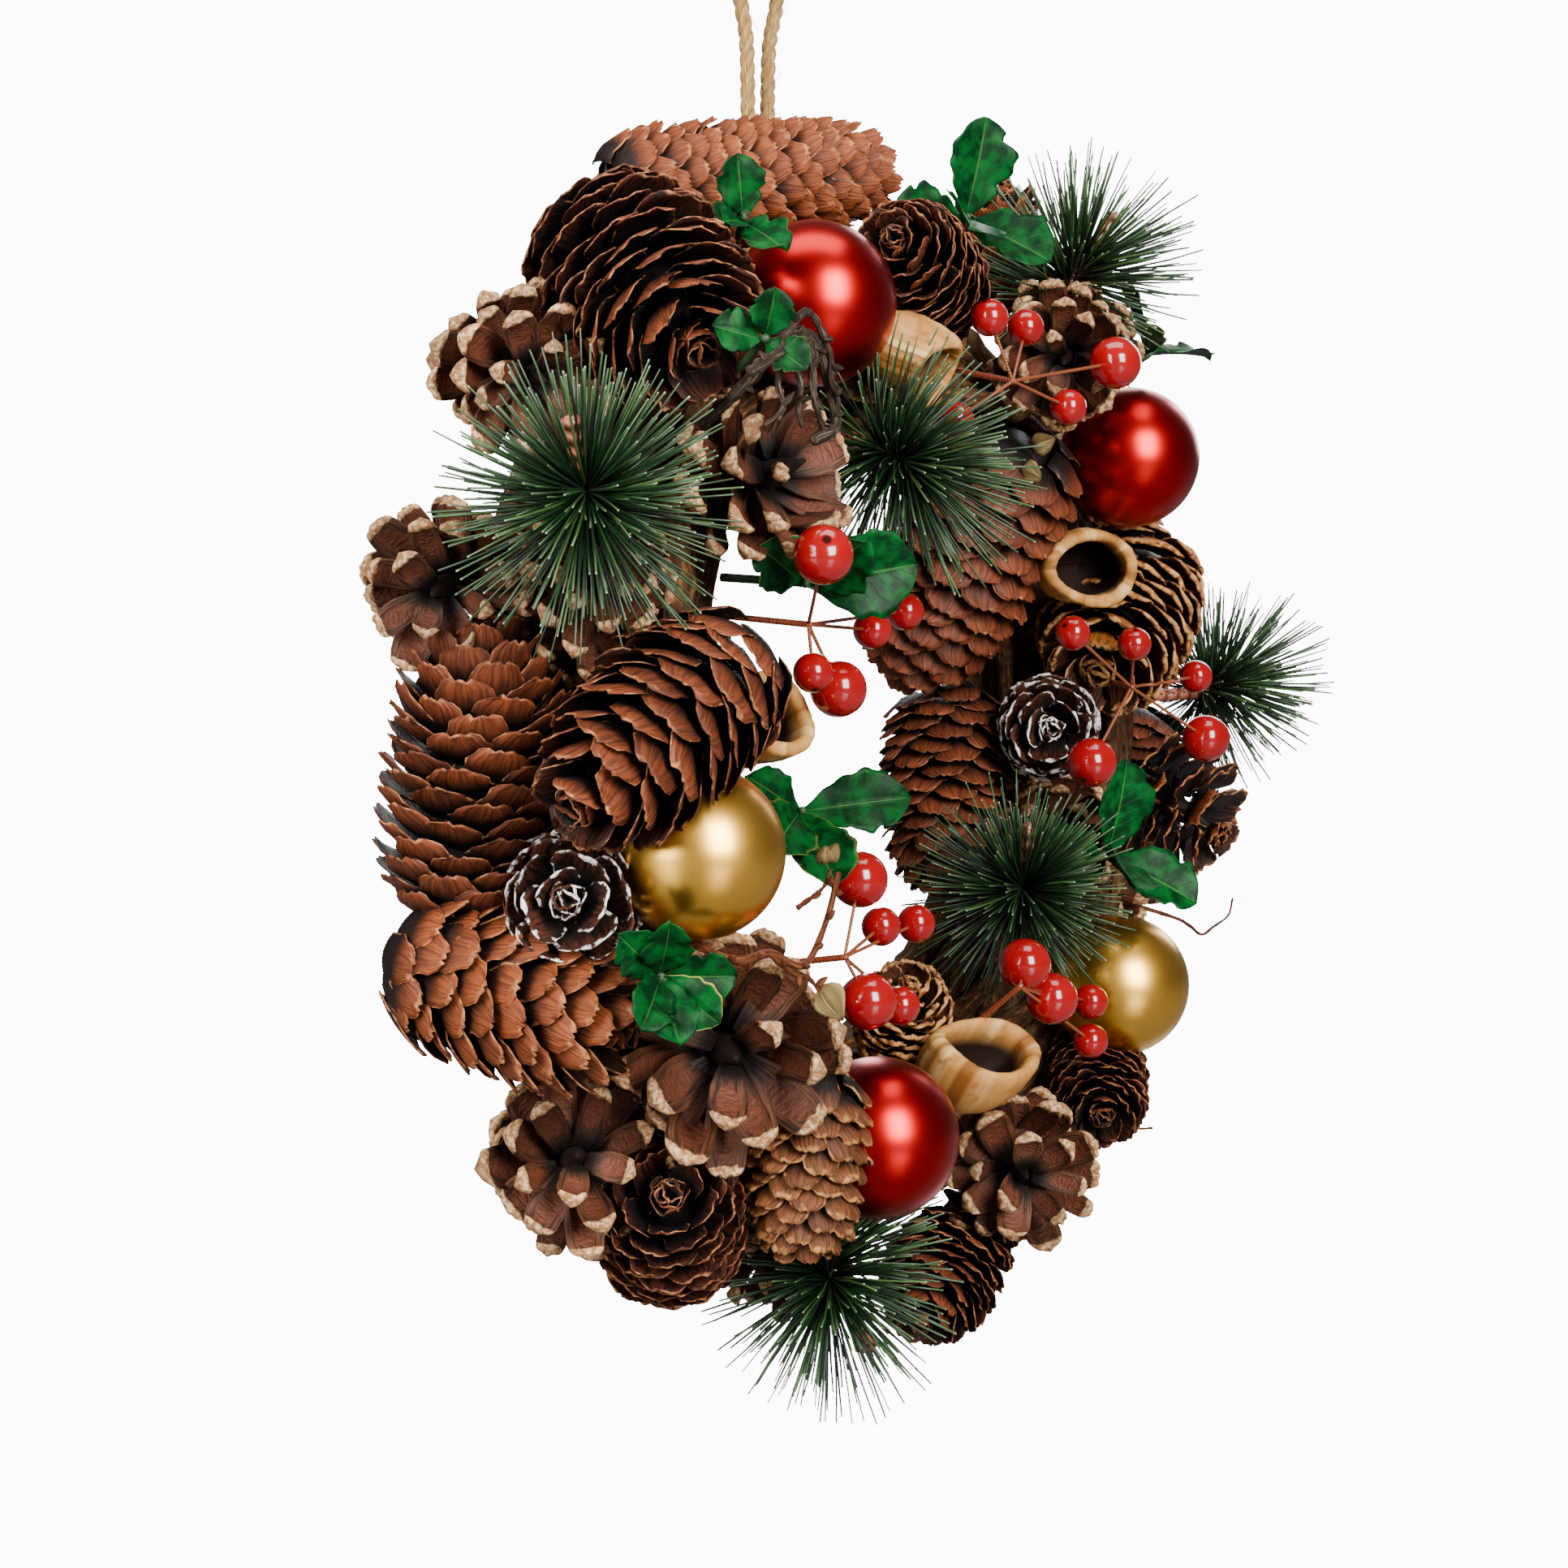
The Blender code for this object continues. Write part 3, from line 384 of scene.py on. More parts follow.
def loopRoute():
    high = jute["rise"] - jute["thick"] / 2 - jute["halfTop"]
    route = []
    for i in range(jute["steps"]):
        share = i / jute["steps"]
        route.append((jute["halfFoot"] + (jute["halfTop"] - jute["halfFoot"]) * share ** 10,
                      jute["low"] + (high - jute["low"]) * share))
    left = [(-a, b) for a, b in route[::-1]]
    for i in range(jute["bend"]):
        turn = math.pi * i / (jute["bend"] - 1)
        route.append((jute["halfTop"] * math.cos(turn), high + jute["halfTop"] * math.sin(turn)))
    return np.array([heart((a, -wreath["depth"], b)) for a, b in route + left])


def juteMaterial():  # spun jute: tan fibres that wind along each ply, with paler and darker threads
    paint = Paint("twistedJuteFibre", {"Roughness": 0.9, "IOR": 1.5, "Sheen Weight": 0.3,
                                       "Specular IOR Level": 0.2})
    u, _, seed, run = paint.grain()
    lay = paint.math("MULTIPLY_ADD", run, 0.18, u)
    fibre = paint.streak(lay, 12.0, run, 0.2, seed)
    tone = paint.mix(paint.fade(fibre, 0.3, 0.5), "#4f3515", "#9c7436")
    tone = paint.mix(paint.fade(fibre, 0.5, 0.72), tone, "#d8b370")
    return paint.finish(tone, paint.bump(fibre, 0.8, 0.0004))


dice = random.Random(11)
route = loopRoute()
fine = smooth(route, 0.5)
tangents = np.gradient(fine, axis=0)
tangents /= np.linalg.norm(tangents, axis=1)[:, None]
outward = np.array([0, -1.0, 0])
beside = np.cross(tangents, outward)
heap = Heap()
for ply in range(jute["plies"]):
    phase = 2 * math.pi * (lengths(fine) / jute["pitch"] + ply / jute["plies"])
    offset = (jute["thick"] / 2 - jute["ply"]) * circle(outward, beside, phase)
    tube(heap, fine + offset, jute["ply"] * 1.08, 10, seed=ply * 3.7)
for i in range(jute["hairs"]):
    at = dice.randrange(4, len(fine) - 4)
    out = spun(outward, beside[at], dice.uniform(0, 2 * math.pi))
    lean = tangents[at] * dice.uniform(-1.5, 1.5)
    length = dice.uniform(1.5, 4.5)
    start = fine[at] + out * 1.7
    tube(heap, [start, start + (out * 0.5 + lean * 0.5) * length * 0.5,
                start + (out * 0.6 + lean + np.array([0, 0, dice.uniform(-0.6, 0.2)])) * length * 0.8],
         [0.09, 0.08, 0.04], 3, seed=dice.random())
juteLoop = heap.make("juteLoop", juteMaterial(), "jute", ["jute_loop"])
print("camera and loop")

# What stands where, in the same places as the solids

balls = [  # node, colour, place
    ("ball_red_top", "red", (-72, 33, 98)),
    ("ball_red_right", "red", (71, 37.6, 77)),
    ("ball_gold_left", "gold", (-117, 34, -25)),
    ("ball_gold_right", "gold", (66, 37, -64)),
    ("ball_red_low", "red", (-53, 38, -92)),
]
pods = [  # node, middle of the mouth, way it looks, width, depth, narrowness
    ("pod_top", (-42, 45, 86), (0.25, 0.75, -0.5), 26, 20, 0.7),
    ("pod_right", (52, 36, 46), (-0.75, 0.6, -0.1), 25, 19, 0.85),
    ("pod_left", (-79, 26, 5), (-0.3, 0.85, 0.35), 24, 17, 0.85),
    ("pod_low", (-8, 40, -76), (-0.2, 0.65, 0.7), 34, 18, 0.6),
]
cones = [  # node, what dresses it, foot, tip, width
    ("cone_left_front", "thin", (-116, 41, 14), (-162, 34, -18), 39),
    ("cone_left_upright", "tight", (-141, -10, -36), (-141, -4, 26), 42),
    ("cone_top_left", "tight", (-110, 2, 110), (-124, 42, 78), 46),
    ("cone_top_long", "closed", (-81, -16, 127.5), (-17, 18, 140), 31),
    ("cone_left_lying", "closed", (-149, -14, -48), (-129, 28, -64), 38),
    ("cone_frosted_left", "frosted", (-128, 10, -36), (-151, 26, -34), 31),
    ("cone_low_big", "open", (-88, 18, -68), (-116, 44, -69), 54),
    ("cone_low_golden", "golden", (-82, 40, -78), (-79, 34, -117), 28),
    ("cone_low_dark", "tight", (-82, 0, -116), (-114, 24, -98), 36),
    ("cone_low_left", "open", (-108, -8, -96), (-130, 12, -89), 44),
    ("cone_upper_left", "open", (-126, -12, 82), (-141, 14, 73), 40),
    ("cone_outer_left", "open", (-136, -16, 34), (-160, -4, 28), 40),
    ("cone_upper_front", "open", (-93, 26, 55), (-98, 52, 60), 42),
    ("cone_right_inner", "tight", (34, 26, 78), (48, -20, 18), 45),
    ("cone_right_low", "tight", (58, -12, 14), (55, -10, -42), 38),
    ("cone_right_tan", "tan", (106, 22, 50), (62, 32, 17), 44),
    ("cone_frosted_right", "frosted", (68, 14, 5), (44, 29, 4), 28),
    ("cone_right_open", "papery", (112, 18, -10), (114, 46, -26), 42),
    ("cone_top_small", "thin", (-14, 30, 108), (-57, 44, 115), 30),
    ("cone_top_back", "closed", (56, 2, 124), (46, 14, 150), 26),
    ("cone_top_open", "open", (52, 28, 106), (20, 46, 94), 40),
    ("cone_low_open", "open", (30, 22, -108), (4, 46, -108), 44),
    ("cone_low_right", "tightRust", (76, 24, -84), (44, 44, -98), 28),
    ("cone_bottom", "tightRust", (24, 16, -120), (-8, 20, -146), 32),
    ("cone_inner_small", "tan", (-4, 12, -76), (-20, 26, -58), 24),
    ("cone_outer_upper", "closed", (112, -6, 90), (143, -2, 48), 38),
    ("cone_outer_right", "tight", (143, 0, 10), (140, -4, -42), 40),
    ("cone_outer_low", "open", (92, -6, -82), (120, 6, -106), 42),
]
fillers = [  # foot, tip, width of the cones bound into the ring
    ((-112, -2, 24), (-140, 26, 40), 38),
    ((-16, 6, 102), (-24, 38, 96), 36),
    ((92, 0, -24), (64, 22, -26), 38),
    ((-44, -2, -112), (-54, 20, -130), 38),
    ((-88, 2, 0), (-64, 6, 2), 34),
    ((62, 4, -100), (66, 14, -132), 38),
    ((108, -4, -34), (138, 6, -46), 40),
    ((84, 0, -62), (94, 24, -72), 36),
    ((92, -2, 78), (103, 22, 88), 36),
]
berries = [  # node, fork, berries as place and size
    ("berries_top", (-14, 51, 86), (((-23, 50, 100), 9), ((-6, 50, 100), 9), ((24, 51, 95), 13),
                                    ((8, 54, 82), 9), ((-32, 46, 75), 9))),
    ("berries_left", (-80, 37, 25), (((-99, 44, 38), 13), ((-40, 37, 30), 9), ((-54, 37, 25), 9),
                                     ((-68, 37, 11), 13), ((-84, 41, 14), 9))),
    ("berries_right", (60, 44, 15), (((32, 42, 28), 9), ((54, 48, 26), 9), ((98, 44, 19), 9),
                                     ((96, 48, 2), 13), ((42, 42, -5), 13))),
    ("berries_low", (-76, 44, -49), (((-67, 42, -32), 13), ((-58, 42, -43), 9), ((-43, 42, -43), 9),
                                     ((-71, 47, -59), 13), ((-56, 46, -61), 9))),
    ("berries_low_right", (-2, 46, -60), (((4, 44, -55), 13), ((14, 46, -64), 13),
                                          ((34, 46, -66), 9), ((34, 46, -76), 9))),
]
twigs = [  # node, thickness, points
    ("twig_gnarled", 3.4, ((-117, 50, 76), (-112, 54, 84), (-104, 56, 82), (-100, 56, 74),
                           (-96, 55, 66), (-104, 55, 62))),
    ("twig_budded", 2.6, ((-122, 46, -47), (-112, 49, -46), (-102, 51, -49), (-92, 50, -40),
                          (-86, 49, -30))),
]
sprigs = [  # node, fork, way it grows, leaf length and width
    ("leaves_top_left", (-98, 32, 112), (-0.7, 0.6, 0.3), 15, 10),
    ("leaves_top_right", (-2, 30, 129), (-0.45, 0.75, 0.3), 26, 16),
    ("leaves_ball_side", (-117, 50, 81), (-0.6, 0.75, 0.1), 12, 9),
    ("leaves_upper_right", (84, 36, 106), (0.2, 0.4, 0.8), 24, 11),
    ("leaves_inner_left", (-84, 38, 34), (-0.6, 0.75, -0.2), 27, 19),
    ("leaves_inner_low", (-68, 26, -17), (-0.6, 0.75, 0.2), 27, 14),
    ("leaves_low_left", (-133, 36, -50), (-0.6, 0.75, -0.1), 23, 14),
    ("leaves_right_low", (64, 34, -30), (-0.3, 0.8, 0.3), 28, 17),
]
sprays = [  # node, heart, way the needles fan, way the taped end points, needle length
    ("needles_left", (-147, 28, 46), (-0.74, 0.6, 0.3), (-0.63, 0.3, 0.75), 32),
    ("needles_inner", (-56, 41, 66), (0.3, 0.8, -0.5), (0.85, 0.35, -0.45), 30),
    ("needles_top_right", (48, 30, 119), (0.2, 0.55, 0.8), (0.2, 0.55, 0.8), 32),
    ("needles_right", (34, 24, -39), (-0.7, 0.65, 0.2), (-0.35, 0.35, 0.85), 30),
    ("needles_bottom", (-54, 24, -121), (-0.45, 0.45, -0.75), (0.1, 0.5, -0.8), 30),
    ("needles_outer_right", (140, 26, 17), (0.8, 0.5, 0.3), (0.8, 0.5, 0.3), 30),
]


def treeOf(node):
    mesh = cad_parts[node].data
    points = [v.co * perMetre for v in mesh.vertices]
    tree = BVHTree.FromPolygons(points, [list(p.vertices) for p in mesh.polygons])
    spread = np.array([list(p) for p in points])
    return node, tree, spread.min(0), spread.max(0)


order = [row[0] for row in balls + pods + cones] + ["vine_ring"] + \
        [row[0] for row in berries + twigs + sprigs + sprays]
trees = [treeOf(node) for node in order]
sounding = Vector((0.31, 0.87, 0.38)).normalized()


def others(before=None, skip=()):
    for row in trees:
        if row[0] == before:
            return
        if row[0] not in skip:
            yield row


def near(point, reach, before):  # distance to what is already there, or reach
    best = reach
    for _, tree, low, high in others(before):
        if np.all(point > low - best) and np.all(point < high + best):
            distance = tree.find_nearest(Vector(point), best)[3]
            if distance is not None:
                best = min(best, distance)
    return best


def met(start, ahead, reach, rows):  # how far along a line it meets each of some solids
    found = [tree.ray_cast(Vector(start), Vector(ahead), reach)[3] for _, tree, _, _ in rows]
    return [far for far in found if far is not None]


def inside(point, before=None, skip=()):
    for _, tree, low, high in others(before, skip):
        if np.all(point > low) and np.all(point < high):
            walls, start = 0, Vector(point)
            while walls < 60:
                place = tree.ray_cast(start, sounding)[0]
                if place is None:
                    break
                walls += 1
                start = place + sounding * 0.001
            if walls % 2:
                return True
    return False


def ringCentre(point):
    middle = heart((0, wreath["ringForward"], 0))
    local = point - middle
    return middle + unit(np.array([local[0], 0, local[2]])) * wreath["ring"]


def pushClear(point, need, before):  # away from the ring's centre line until clear
    out = unit(point - ringCentre(point))
    for _ in range(80):
        if near(point, need + 0.1, before) >= need and not inside(point, before):
            return point
        point = point + out * 0.5
    return point


def clearLine(start, end, need, before):
    steps = max(2, int(np.linalg.norm(end - start)))
    return all(near(start + (end - start) * i / steps, need + 0.1, before) >= need for i in range(steps + 1))


def clearRoute(start, end, need, before):
    if clearLine(start, end, need, before):
        return [start, end]
    for count in (1, 2, 3, 5, 7, 9):
        inner = [pushClear(start + (end - start) * (i + 1) / (count + 1), need + 0.5, before)
                 for i in range(count)]
        found = [start, *inner, end]
        if all(clearLine(a, b, need, before) for a, b in zip(found, found[1:])):
            return found
    return found


def rooted(point, thick, before):  # runs toward the ring until something carries it
    direction = unit(ringCentre(point) - point)
    run = 0.0
    while run < 80 and near(point + direction * run, thick, before) >= 0.45:
        run += 0.25
    return point + direction * run


# Cones. Angles run from the cone's axis, at a scale's root and at its tip.

scaleRow = ("full", "spacing", "angles", "apex", "core", "base", "wide", "shape", "thick", "cap", "cup",
            "torn", "wave", "loose")
kinds = {name: dict(zip(scaleRow, row)) for name, *row in (
    ("closed", 3.0, 0.2, (62, 20), (34, 6), 0.62, 0.5, 1.5, (0.7, 0.5, 0.3), (0.8, 0.6), 0.0, 0.9,
     0.07, 0.35, 5),
    ("thin", 2.2, 0.235, (70, 20), (36, 7), 0.42, 0.5, 1.75, (0.45, 0.66, 0.45), (0.7, 0.4), 0.0, 0.6,
     0.06, 0.5, 5),
    ("tight", 2.5, 0.2, (84, 40), (44, 8), 0.45, 0.5, 1.65, (0.5, 0.62, 0.42), (0.7, 0.4), 0.0, 0.8,
     0.06, 0.5, 5),
    ("frosted", 2.2, 0.29, (80, 34), (40, 10), 0.38, 0.5, 1.7, (0.45, 0.68, 0.5), (0.8, 0.6), 0.0, 0.55,
     0.05, 0.3, 6),
    ("open", 2.4, 0.25, (80, 52), (50, 14), 0.16, 0.1, 0.8, (0.42, 0.7, 0.5), (1.2, 1.0), 2.4, 1.4,
     0.03, 0.4, 18),
    ("golden", 2.6, 0.21, (70, 30), (42, 12), 0.5, 0.5, 1.5, (0.55, 0.6, 0.42), (0.9, 0.8), 0.5, 0.8,
     0.05, 0.4, 7),
    ("papery", 2.4, 0.27, (86, 62), (60, 30), 0.2, 0.15, 1.15, (0.3, 0.75, 0.62), (0.8, 0.6), 0.0, 0.5,
     0.1, 0.8, 9),
)}


def outline(full, along):  # half width of a cone at a share of its length
    widest = 0.38
    span = widest + 0.14 if along < widest else 1.02 - widest
    return max(0.0, 1 - (abs(along - widest) / span) ** full) ** (1 / full)


def scaleGrid(kind):
    rows = (0.08, 0.3, 0.48, 0.62, 0.74, 0.84, 0.9, 0.95, 0.98, 1.0) if kind["cap"] > 1 else \
        (0.25, 0.45, 0.6, 0.74, 0.86, 0.95, 1.0)
    u, v = sheet(rows, 7)
    root, widest, tip = kind["shape"]
    rising = root + (1 - root) * np.sin(ramp(v, 0, widest) * math.pi / 2)
    fall = ramp(v, widest, 1 - widest)
    return u, v, np.where(v < widest, rising, tip + (1 - tip) * (1 - fall ** 2.2) ** 0.6)


def addScale(heap, kind, grid, start, axis, out, height, reach, spacing, share, number, dice):
    u, v, form = grid
    isOpen, isBent = kind["cap"] > 1, kind["base"] < 0.3
    nearTip = ramp(share, 0.55, 0.45) ** 1.3
    loose = math.radians(dice.uniform(-kind["loose"], kind["loose"]))
    first, last = [math.radians(a + (b - a) * nearTip) + loose for a, b in zip(kind["angles"], kind["apex"])]
    if isBent:  # the lowest scales of an open cone bend back
        last += max(0.0, 0.25 - share) * 1.6
    bend = last - first
    base = reach * kind["base"] * (1 if isBent else kind["core"])
    reached = reach * dice.uniform(0.8 if isOpen else 0.94, 1.03) - base
    run = reached / ((math.cos(first) - math.cos(last)) / bend)
    angle = first + bend * v
    radial = base + run * (math.cos(first) - np.cos(angle)) / bend
    axial = height - run * (math.sin(last) - np.sin(angle)) / bend
    uneven = 0.3 if isOpen else 0.09
    x = u * spacing * kind["wide"] / 2 * form * dice.uniform(1 - uneven, 1 + uneven / 2)
    x = x * (1 + kind["torn"] * np.sin(v * 23 + number * 1.7 + u * 2))
    wave = np.abs(u) ** 3 * np.sin(v * 9 + number) + 0.6 * v ** 6 * np.sin(u * 4 + number * 2.3)
    sag = kind["cup"] * x * x / (2 * np.maximum(radial, 4.0))
    z = kind["wave"] * wave - sag + x * dice.uniform(-0.12, 0.12)
    short = kind["torn"] * run * 0.8 * v ** 8 * (0.5 + 0.5 * np.sin(u * 7 + number * 3.1))
    thick = kind["thick"][0] + (kind["thick"][1] - kind["thick"][0]) * v
    outer = thick / 2 * (1 - 0.5 * np.abs(u))
    inner = outer.copy()
    if kind["cap"]:
        swell = ramp(v, 0.7, 0.2) ** 1.3 * (1 - 0.75 * ramp(v, 0.88, 0.12) ** 2)
        outer = outer + kind["cap"] * spacing / 10 * swell * (1 - 0.7 * u * u)
        outer = outer + 0.5 * kind["cap"] / 2.4 * np.exp(-((u / 0.25) ** 2 + ((v - 0.93) / 0.04) ** 2))
        hollow = np.exp(-((np.abs(u) - 0.36) / 0.25) ** 2 - ((v - 0.6) / 0.2) ** 2)
        inner = inner - 0.45 * hollow * min(1.0, kind["cap"]) + 0.35 * ramp(v, 0.86, 0.1)
    normal = times(np.cos(angle), out) - times(np.sin(angle), axis)
    ahead = times(np.sin(angle), out) + times(np.cos(angle), axis)
    middle = start + times(axial, axis) + times(radial, out) + times(x, np.cross(axis, out))
    middle = middle - times(short, ahead)
    plate(heap, middle + times(z + outer, normal), middle + times(z - inner, normal), -u, v, dice.random())


def addCone(heap, kindName, foot, tip, width, dice, skip=()):
    kind = kinds[kindName]
    start, end = heart(foot), heart(tip)
    length, axis = np.linalg.norm(end - start), unit(end - start)
    side, up = across(axis)
    core = [(width * 0.45 * kind["core"] * outline(kind["full"], s) * (1 - s ** 3) + 0.5, length * s * 0.84)
            for s in np.linspace(0, 1, 13)]
    turned(heap, start, axis, [(0.0, 0.0), *core, (0.0, length * 0.85)], 12, seed=0.5, span=0.2)
    grid = scaleGrid(kind)
    height, number = length * 0.05, 0
    while height < length:
        reach = width / 2 * outline(kind["full"], height / length)
        spacing = width * kind["spacing"] * (0.55 + 0.9 * reach / width)
        out = spun(side, up, number * goldenTurn + dice.uniform(-0.1, 0.1))
        number += 1
        if not inside(start + axis * height + out * reach * 0.96, skip=skip):
            addScale(heap, kind, grid, start, axis, out, height, reach, spacing, height / length, number,
                     dice)
        height += spacing * spacing / (2 * math.pi * max(reach, spacing * 0.55))
    for number in range(0 if kind["cap"] > 1 else 9):  # the rosette of small scales that closes the tip
        out = spun(side, up, number * goldenTurn)
        reach = width * (0.11 - 0.009 * number)
        addScale(heap, kind, grid, start, axis, out, length * (0.93 + 0.008 * number), reach,
                 width * (0.15 - 0.008 * number), 1.0, number, dice)


# each row's root colour is painted shade at the foot of the scales
woods = {wood: scaleMaterial(*row) for wood, *row in (
    ("rust", "driedSpruceScale", 0.6, "#120502", 0.55, 0.9, "#84411c", "#5a280f", "#42200f",
     "#a86a40", 0.93, 1.06, 0.5, 0.2),
    ("umber", "driedDarkThinScale", 0.6, "#080302", 0.5, 0.95, "#74371b", "#47200d", "#4c2110",
     "#a86c42", 0.97, 1.06, 0.3, 0.25),
    ("frosted", "whiteBrushedScale", 0.65, "#0b0503", 0.4, 0.85, "#5a2c14", "#38190b", "#4a2110",
     "#efe9df", 0.95, 1.06, 0.8, 0.2),
    ("golden", "driedGoldenScale", 0.62, "#0e0502", 0.5, 0.9, "#6e3d1a", "#43210c", "#3a1c0c",
     "#a5713f", 0.92, 1.05, 0.6, 0.22),
    ("tan", "driedTanScale", 0.62, "#160803", 0.35, 0.7, "#96581f", "#66360f", "#4f2510",
     "#b98450", 0.9, 1.05, 0.7, 0.22),
)}
# the root colour is painted shade at the foot of each open scale
woods["open"] = openScaleMaterial({
    "name": "driedOpenPineScale", "rough": 0.6, "root": "#120804", "body": "#5a331d", "dark": "#22120a",
    "hollow": "#65341f", "hollowDark": "#3a1b0e", "cap": "#cda678", "capDark": "#8a5e3a", "vary": 0.3})
dressed = {  # kind of scale, wood and slot
    "closed": ("closed", "rust", "cone_rust"), "thin": ("thin", "umber", "cone_umber"),
    "tight": ("tight", "umber", "cone_umber"), "tightRust": ("tight", "umber", "cone_rust"),
    "frosted": ("frosted", "frosted", "cone_frosted"), "open": ("open", "open", "cone_bark"),
    "golden": ("golden", "golden", "cone_rust"), "papery": ("papery", "rust", "cone_bark"),
    "tan": ("golden", "tan", "cone_tan"),
}
dice = random.Random(5)
for node, dress, foot, tip, width in cones:
    heap = Heap()
    form, wood, slot = dressed[dress]
    addCone(heap, form, foot, tip, width, dice, skip=(node,))
    heap.make(camel(node), woods[wood], slot, [node])
heap = Heap()
for foot, tip, width in fillers:
    addCone(heap, "open", foot, tip, width, dice, skip=("vine_ring",))
heap.make("fillerCones", woods["open"], "cone_bark", ["vine_ring"])
print("cones")

# Vine ring: strands wound round a core

vine = {"strands": 46, "reach": (17.0, 24.5), "thick": (2.0, 4.2), "twist": 2.1, "core": 19.0, "back": -29.8}


def onRing(around, minor, reach):  # a point of the bundle, kept off the flat back
    out = wreath["ring"] + reach * math.cos(minor)
    forward = max(vine["back"], wreath["ringForward"] + reach * math.sin(minor))
    return heart((out * math.cos(around), forward, out * math.sin(around)))


heap = Heap()
dice = random.Random(21)
tube(heap, [onRing(2 * math.pi * i / 72, 0, 0) for i in range(73)], vine["core"], 14, seed=0.3)
for strand in range(vine["strands"]):
    begin, span = dice.uniform(0, 2 * math.pi), dice.uniform(1.6, 5.2)
    minor = 6 * math.pi * strand / vine["strands"] + dice.uniform(-0.3, 0.3)
    reach, thick = dice.uniform(*vine["reach"]), dice.uniform(*vine["thick"])
    twist = dice.choice((-1, 1)) * vine["twist"] * dice.uniform(0.5, 1.2)
    points, sizes = [], []
    for share in np.linspace(0, 1, int(span * 26)):
        around = begin + span * share
        points.append(onRing(around, minor + twist * span * share / 2 + 0.2 * math.sin(around * 3 + strand),
                             reach + 1.5 * math.sin(around * 5 + strand * 2)))
        knot = 1 + 0.3 * math.exp(-((share * span * 3.1 + strand) % 1.0 - 0.5) ** 2 / 0.004)
        sizes.append(thick * knot * (0.35 + 0.65 * min(1, 8 * share, 8 * (1 - share))))
    tube(heap, points, sizes, 9, seed=dice.random())
vineBark = barkMaterial("dryVineBark", 0.85, "#150a04", "#3f240f", "#7a5026", "#4a3a26", 0.001)
heap.make("vineBundle", vineBark, "vine", ["vine_ring"])
print("vine ring")

# Balls

ball = {"radius": 18.7, "neck": 4.6, "neckAt": -19.6, "facets": 56}
lacquer = {"red": ("#a00206", "#bd0208"), "gold": ("#e0a236", "#f6c152")}


def ballMaterial(name, deep, bright):  # satin metallic lacquer over glass, with a faint flake
    paint = Paint(name, {"Metallic": 1.0, "Roughness": 0.31, "Coat Weight": 0.12, "Coat Roughness": 0.3,
                         "IOR": 1.5})
    tone = paint.mix(paint.cloud(60.0, 2.0), deep, bright)
    return paint.finish(tone, paint.bump(paint.cloud(2600.0, 1.0), 0.08, 0.0001))


ballMaterials = {tone: ballMaterial(tone + "SatinLacquer", *pair) for tone, pair in lacquer.items()}
collars = Heap()
for node, tone, place in balls:
    centre = heart(place)
    out = unit(centre - ringCentre(centre))
    heap = Heap()
    profile = [(ball["radius"] * math.sin(a), ball["radius"] * math.cos(a))
               for a in np.radians(np.linspace(0, 164, 42))]
    neck = [(ball["neck"], ball["neckAt"]), (0.0, ball["neckAt"])]
    turned(heap, centre, out, profile + neck, ball["facets"], seed=0.2)
    heap.make(camel(node), ballMaterials[tone], "ball_" + tone, [node])
    ridged = [(0.0, -18.2), (5.2, -18.2), (5.4, -18.8), (5.2, -20.6), (4.9, -21.4), (1.0, -21.8),
              (0.0, -21.8)]
    turned(collars, centre, out, ridged, 24, rough=lambda turn, share: 1 + 0.03 * np.cos(turn * 12))
brass = Paint("stampedBrassCollar", {"Metallic": 1.0, "Roughness": 0.35})  # dull gleam of thin brass
collars.make("ballCollars", brass.finish("#c9a05a"), "ball_gold")
print("balls")

# Dried seed cups: a thick pale wall that curls in at the lip, dark inside

cup = {"wall": 0.13, "lip": 0.8, "sides": 44}


def curl(points, strength, seed):  # a slow wander of points
    phase = np.array([[0.21, 0.17, 0.13], [0.11, 0.24, 0.19], [0.16, 0.12, 0.26]])
    return points + strength * np.sin(points @ phase + seed)


husk = barkMaterial("driedSeedHusk", 0.7, "#7c4a18", "#b57f3e", "#dcb374", "#a06a30", 0.0009, "#1c0d05")
for number, (node, mouth, look, width, depth, narrow) in enumerate(pods):
    wall = width * cup["wall"]

    def ribbed(turn, share, number=number):
        lobes = 0.03 * np.sin(turn * 3 + number) * (1 - abs(share - 0.5))
        return 1 + lobes + 0.008 * np.sin(turn * 17 + number * 2)

    bow = np.linspace(0.05, math.pi / 2, 9)
    outer = [(width / 2 * math.sin(b) ** 0.8, -depth * math.cos(b)) for b in bow]
    inner = [((width / 2 - wall) * math.sin(b) ** 0.8, -(depth - wall) * math.cos(b)) for b in bow[::-1]]
    lip = [(width / 2 - wall / 2 + wall / 2 * math.cos(a), cup["lip"] + wall / 2 * math.sin(a))
           for a in np.linspace(0.2, math.pi - 0.2, 6)]
    heap = Heap()
    turned(heap, heart(mouth), way(look), [(0.0, -depth), *outer, *lip, *inner, (0.0, wall - depth)],
           cup["sides"], seed=0.4 + number, squeeze=narrow, rough=ribbed)
    heap.verts = [curl(v, 0.8, number) for v in heap.verts]
    heap.make(camel(node), husk, "husk", [node])
print("seed cups")

# Berries on wires

fruit = {"wire": 0.42, "stem": 0.75, "sides": 28}


def berryMaterial():  # thick clear lacquer over red, with a dark eye where the wire ends
    paint = Paint("lacqueredBerry", {"Roughness": 0.16, "Coat Weight": 0.5, "Coat Roughness": 0.05,
                                     "IOR": 1.45})
    tone = paint.mix(paint.cloud(130.0, 2.0), "#7a0005", "#9a0108")
    return paint.finish(paint.mix(paint.fade(paint.grain()[1], 0.035, 0.0), tone, "#2a0806"))


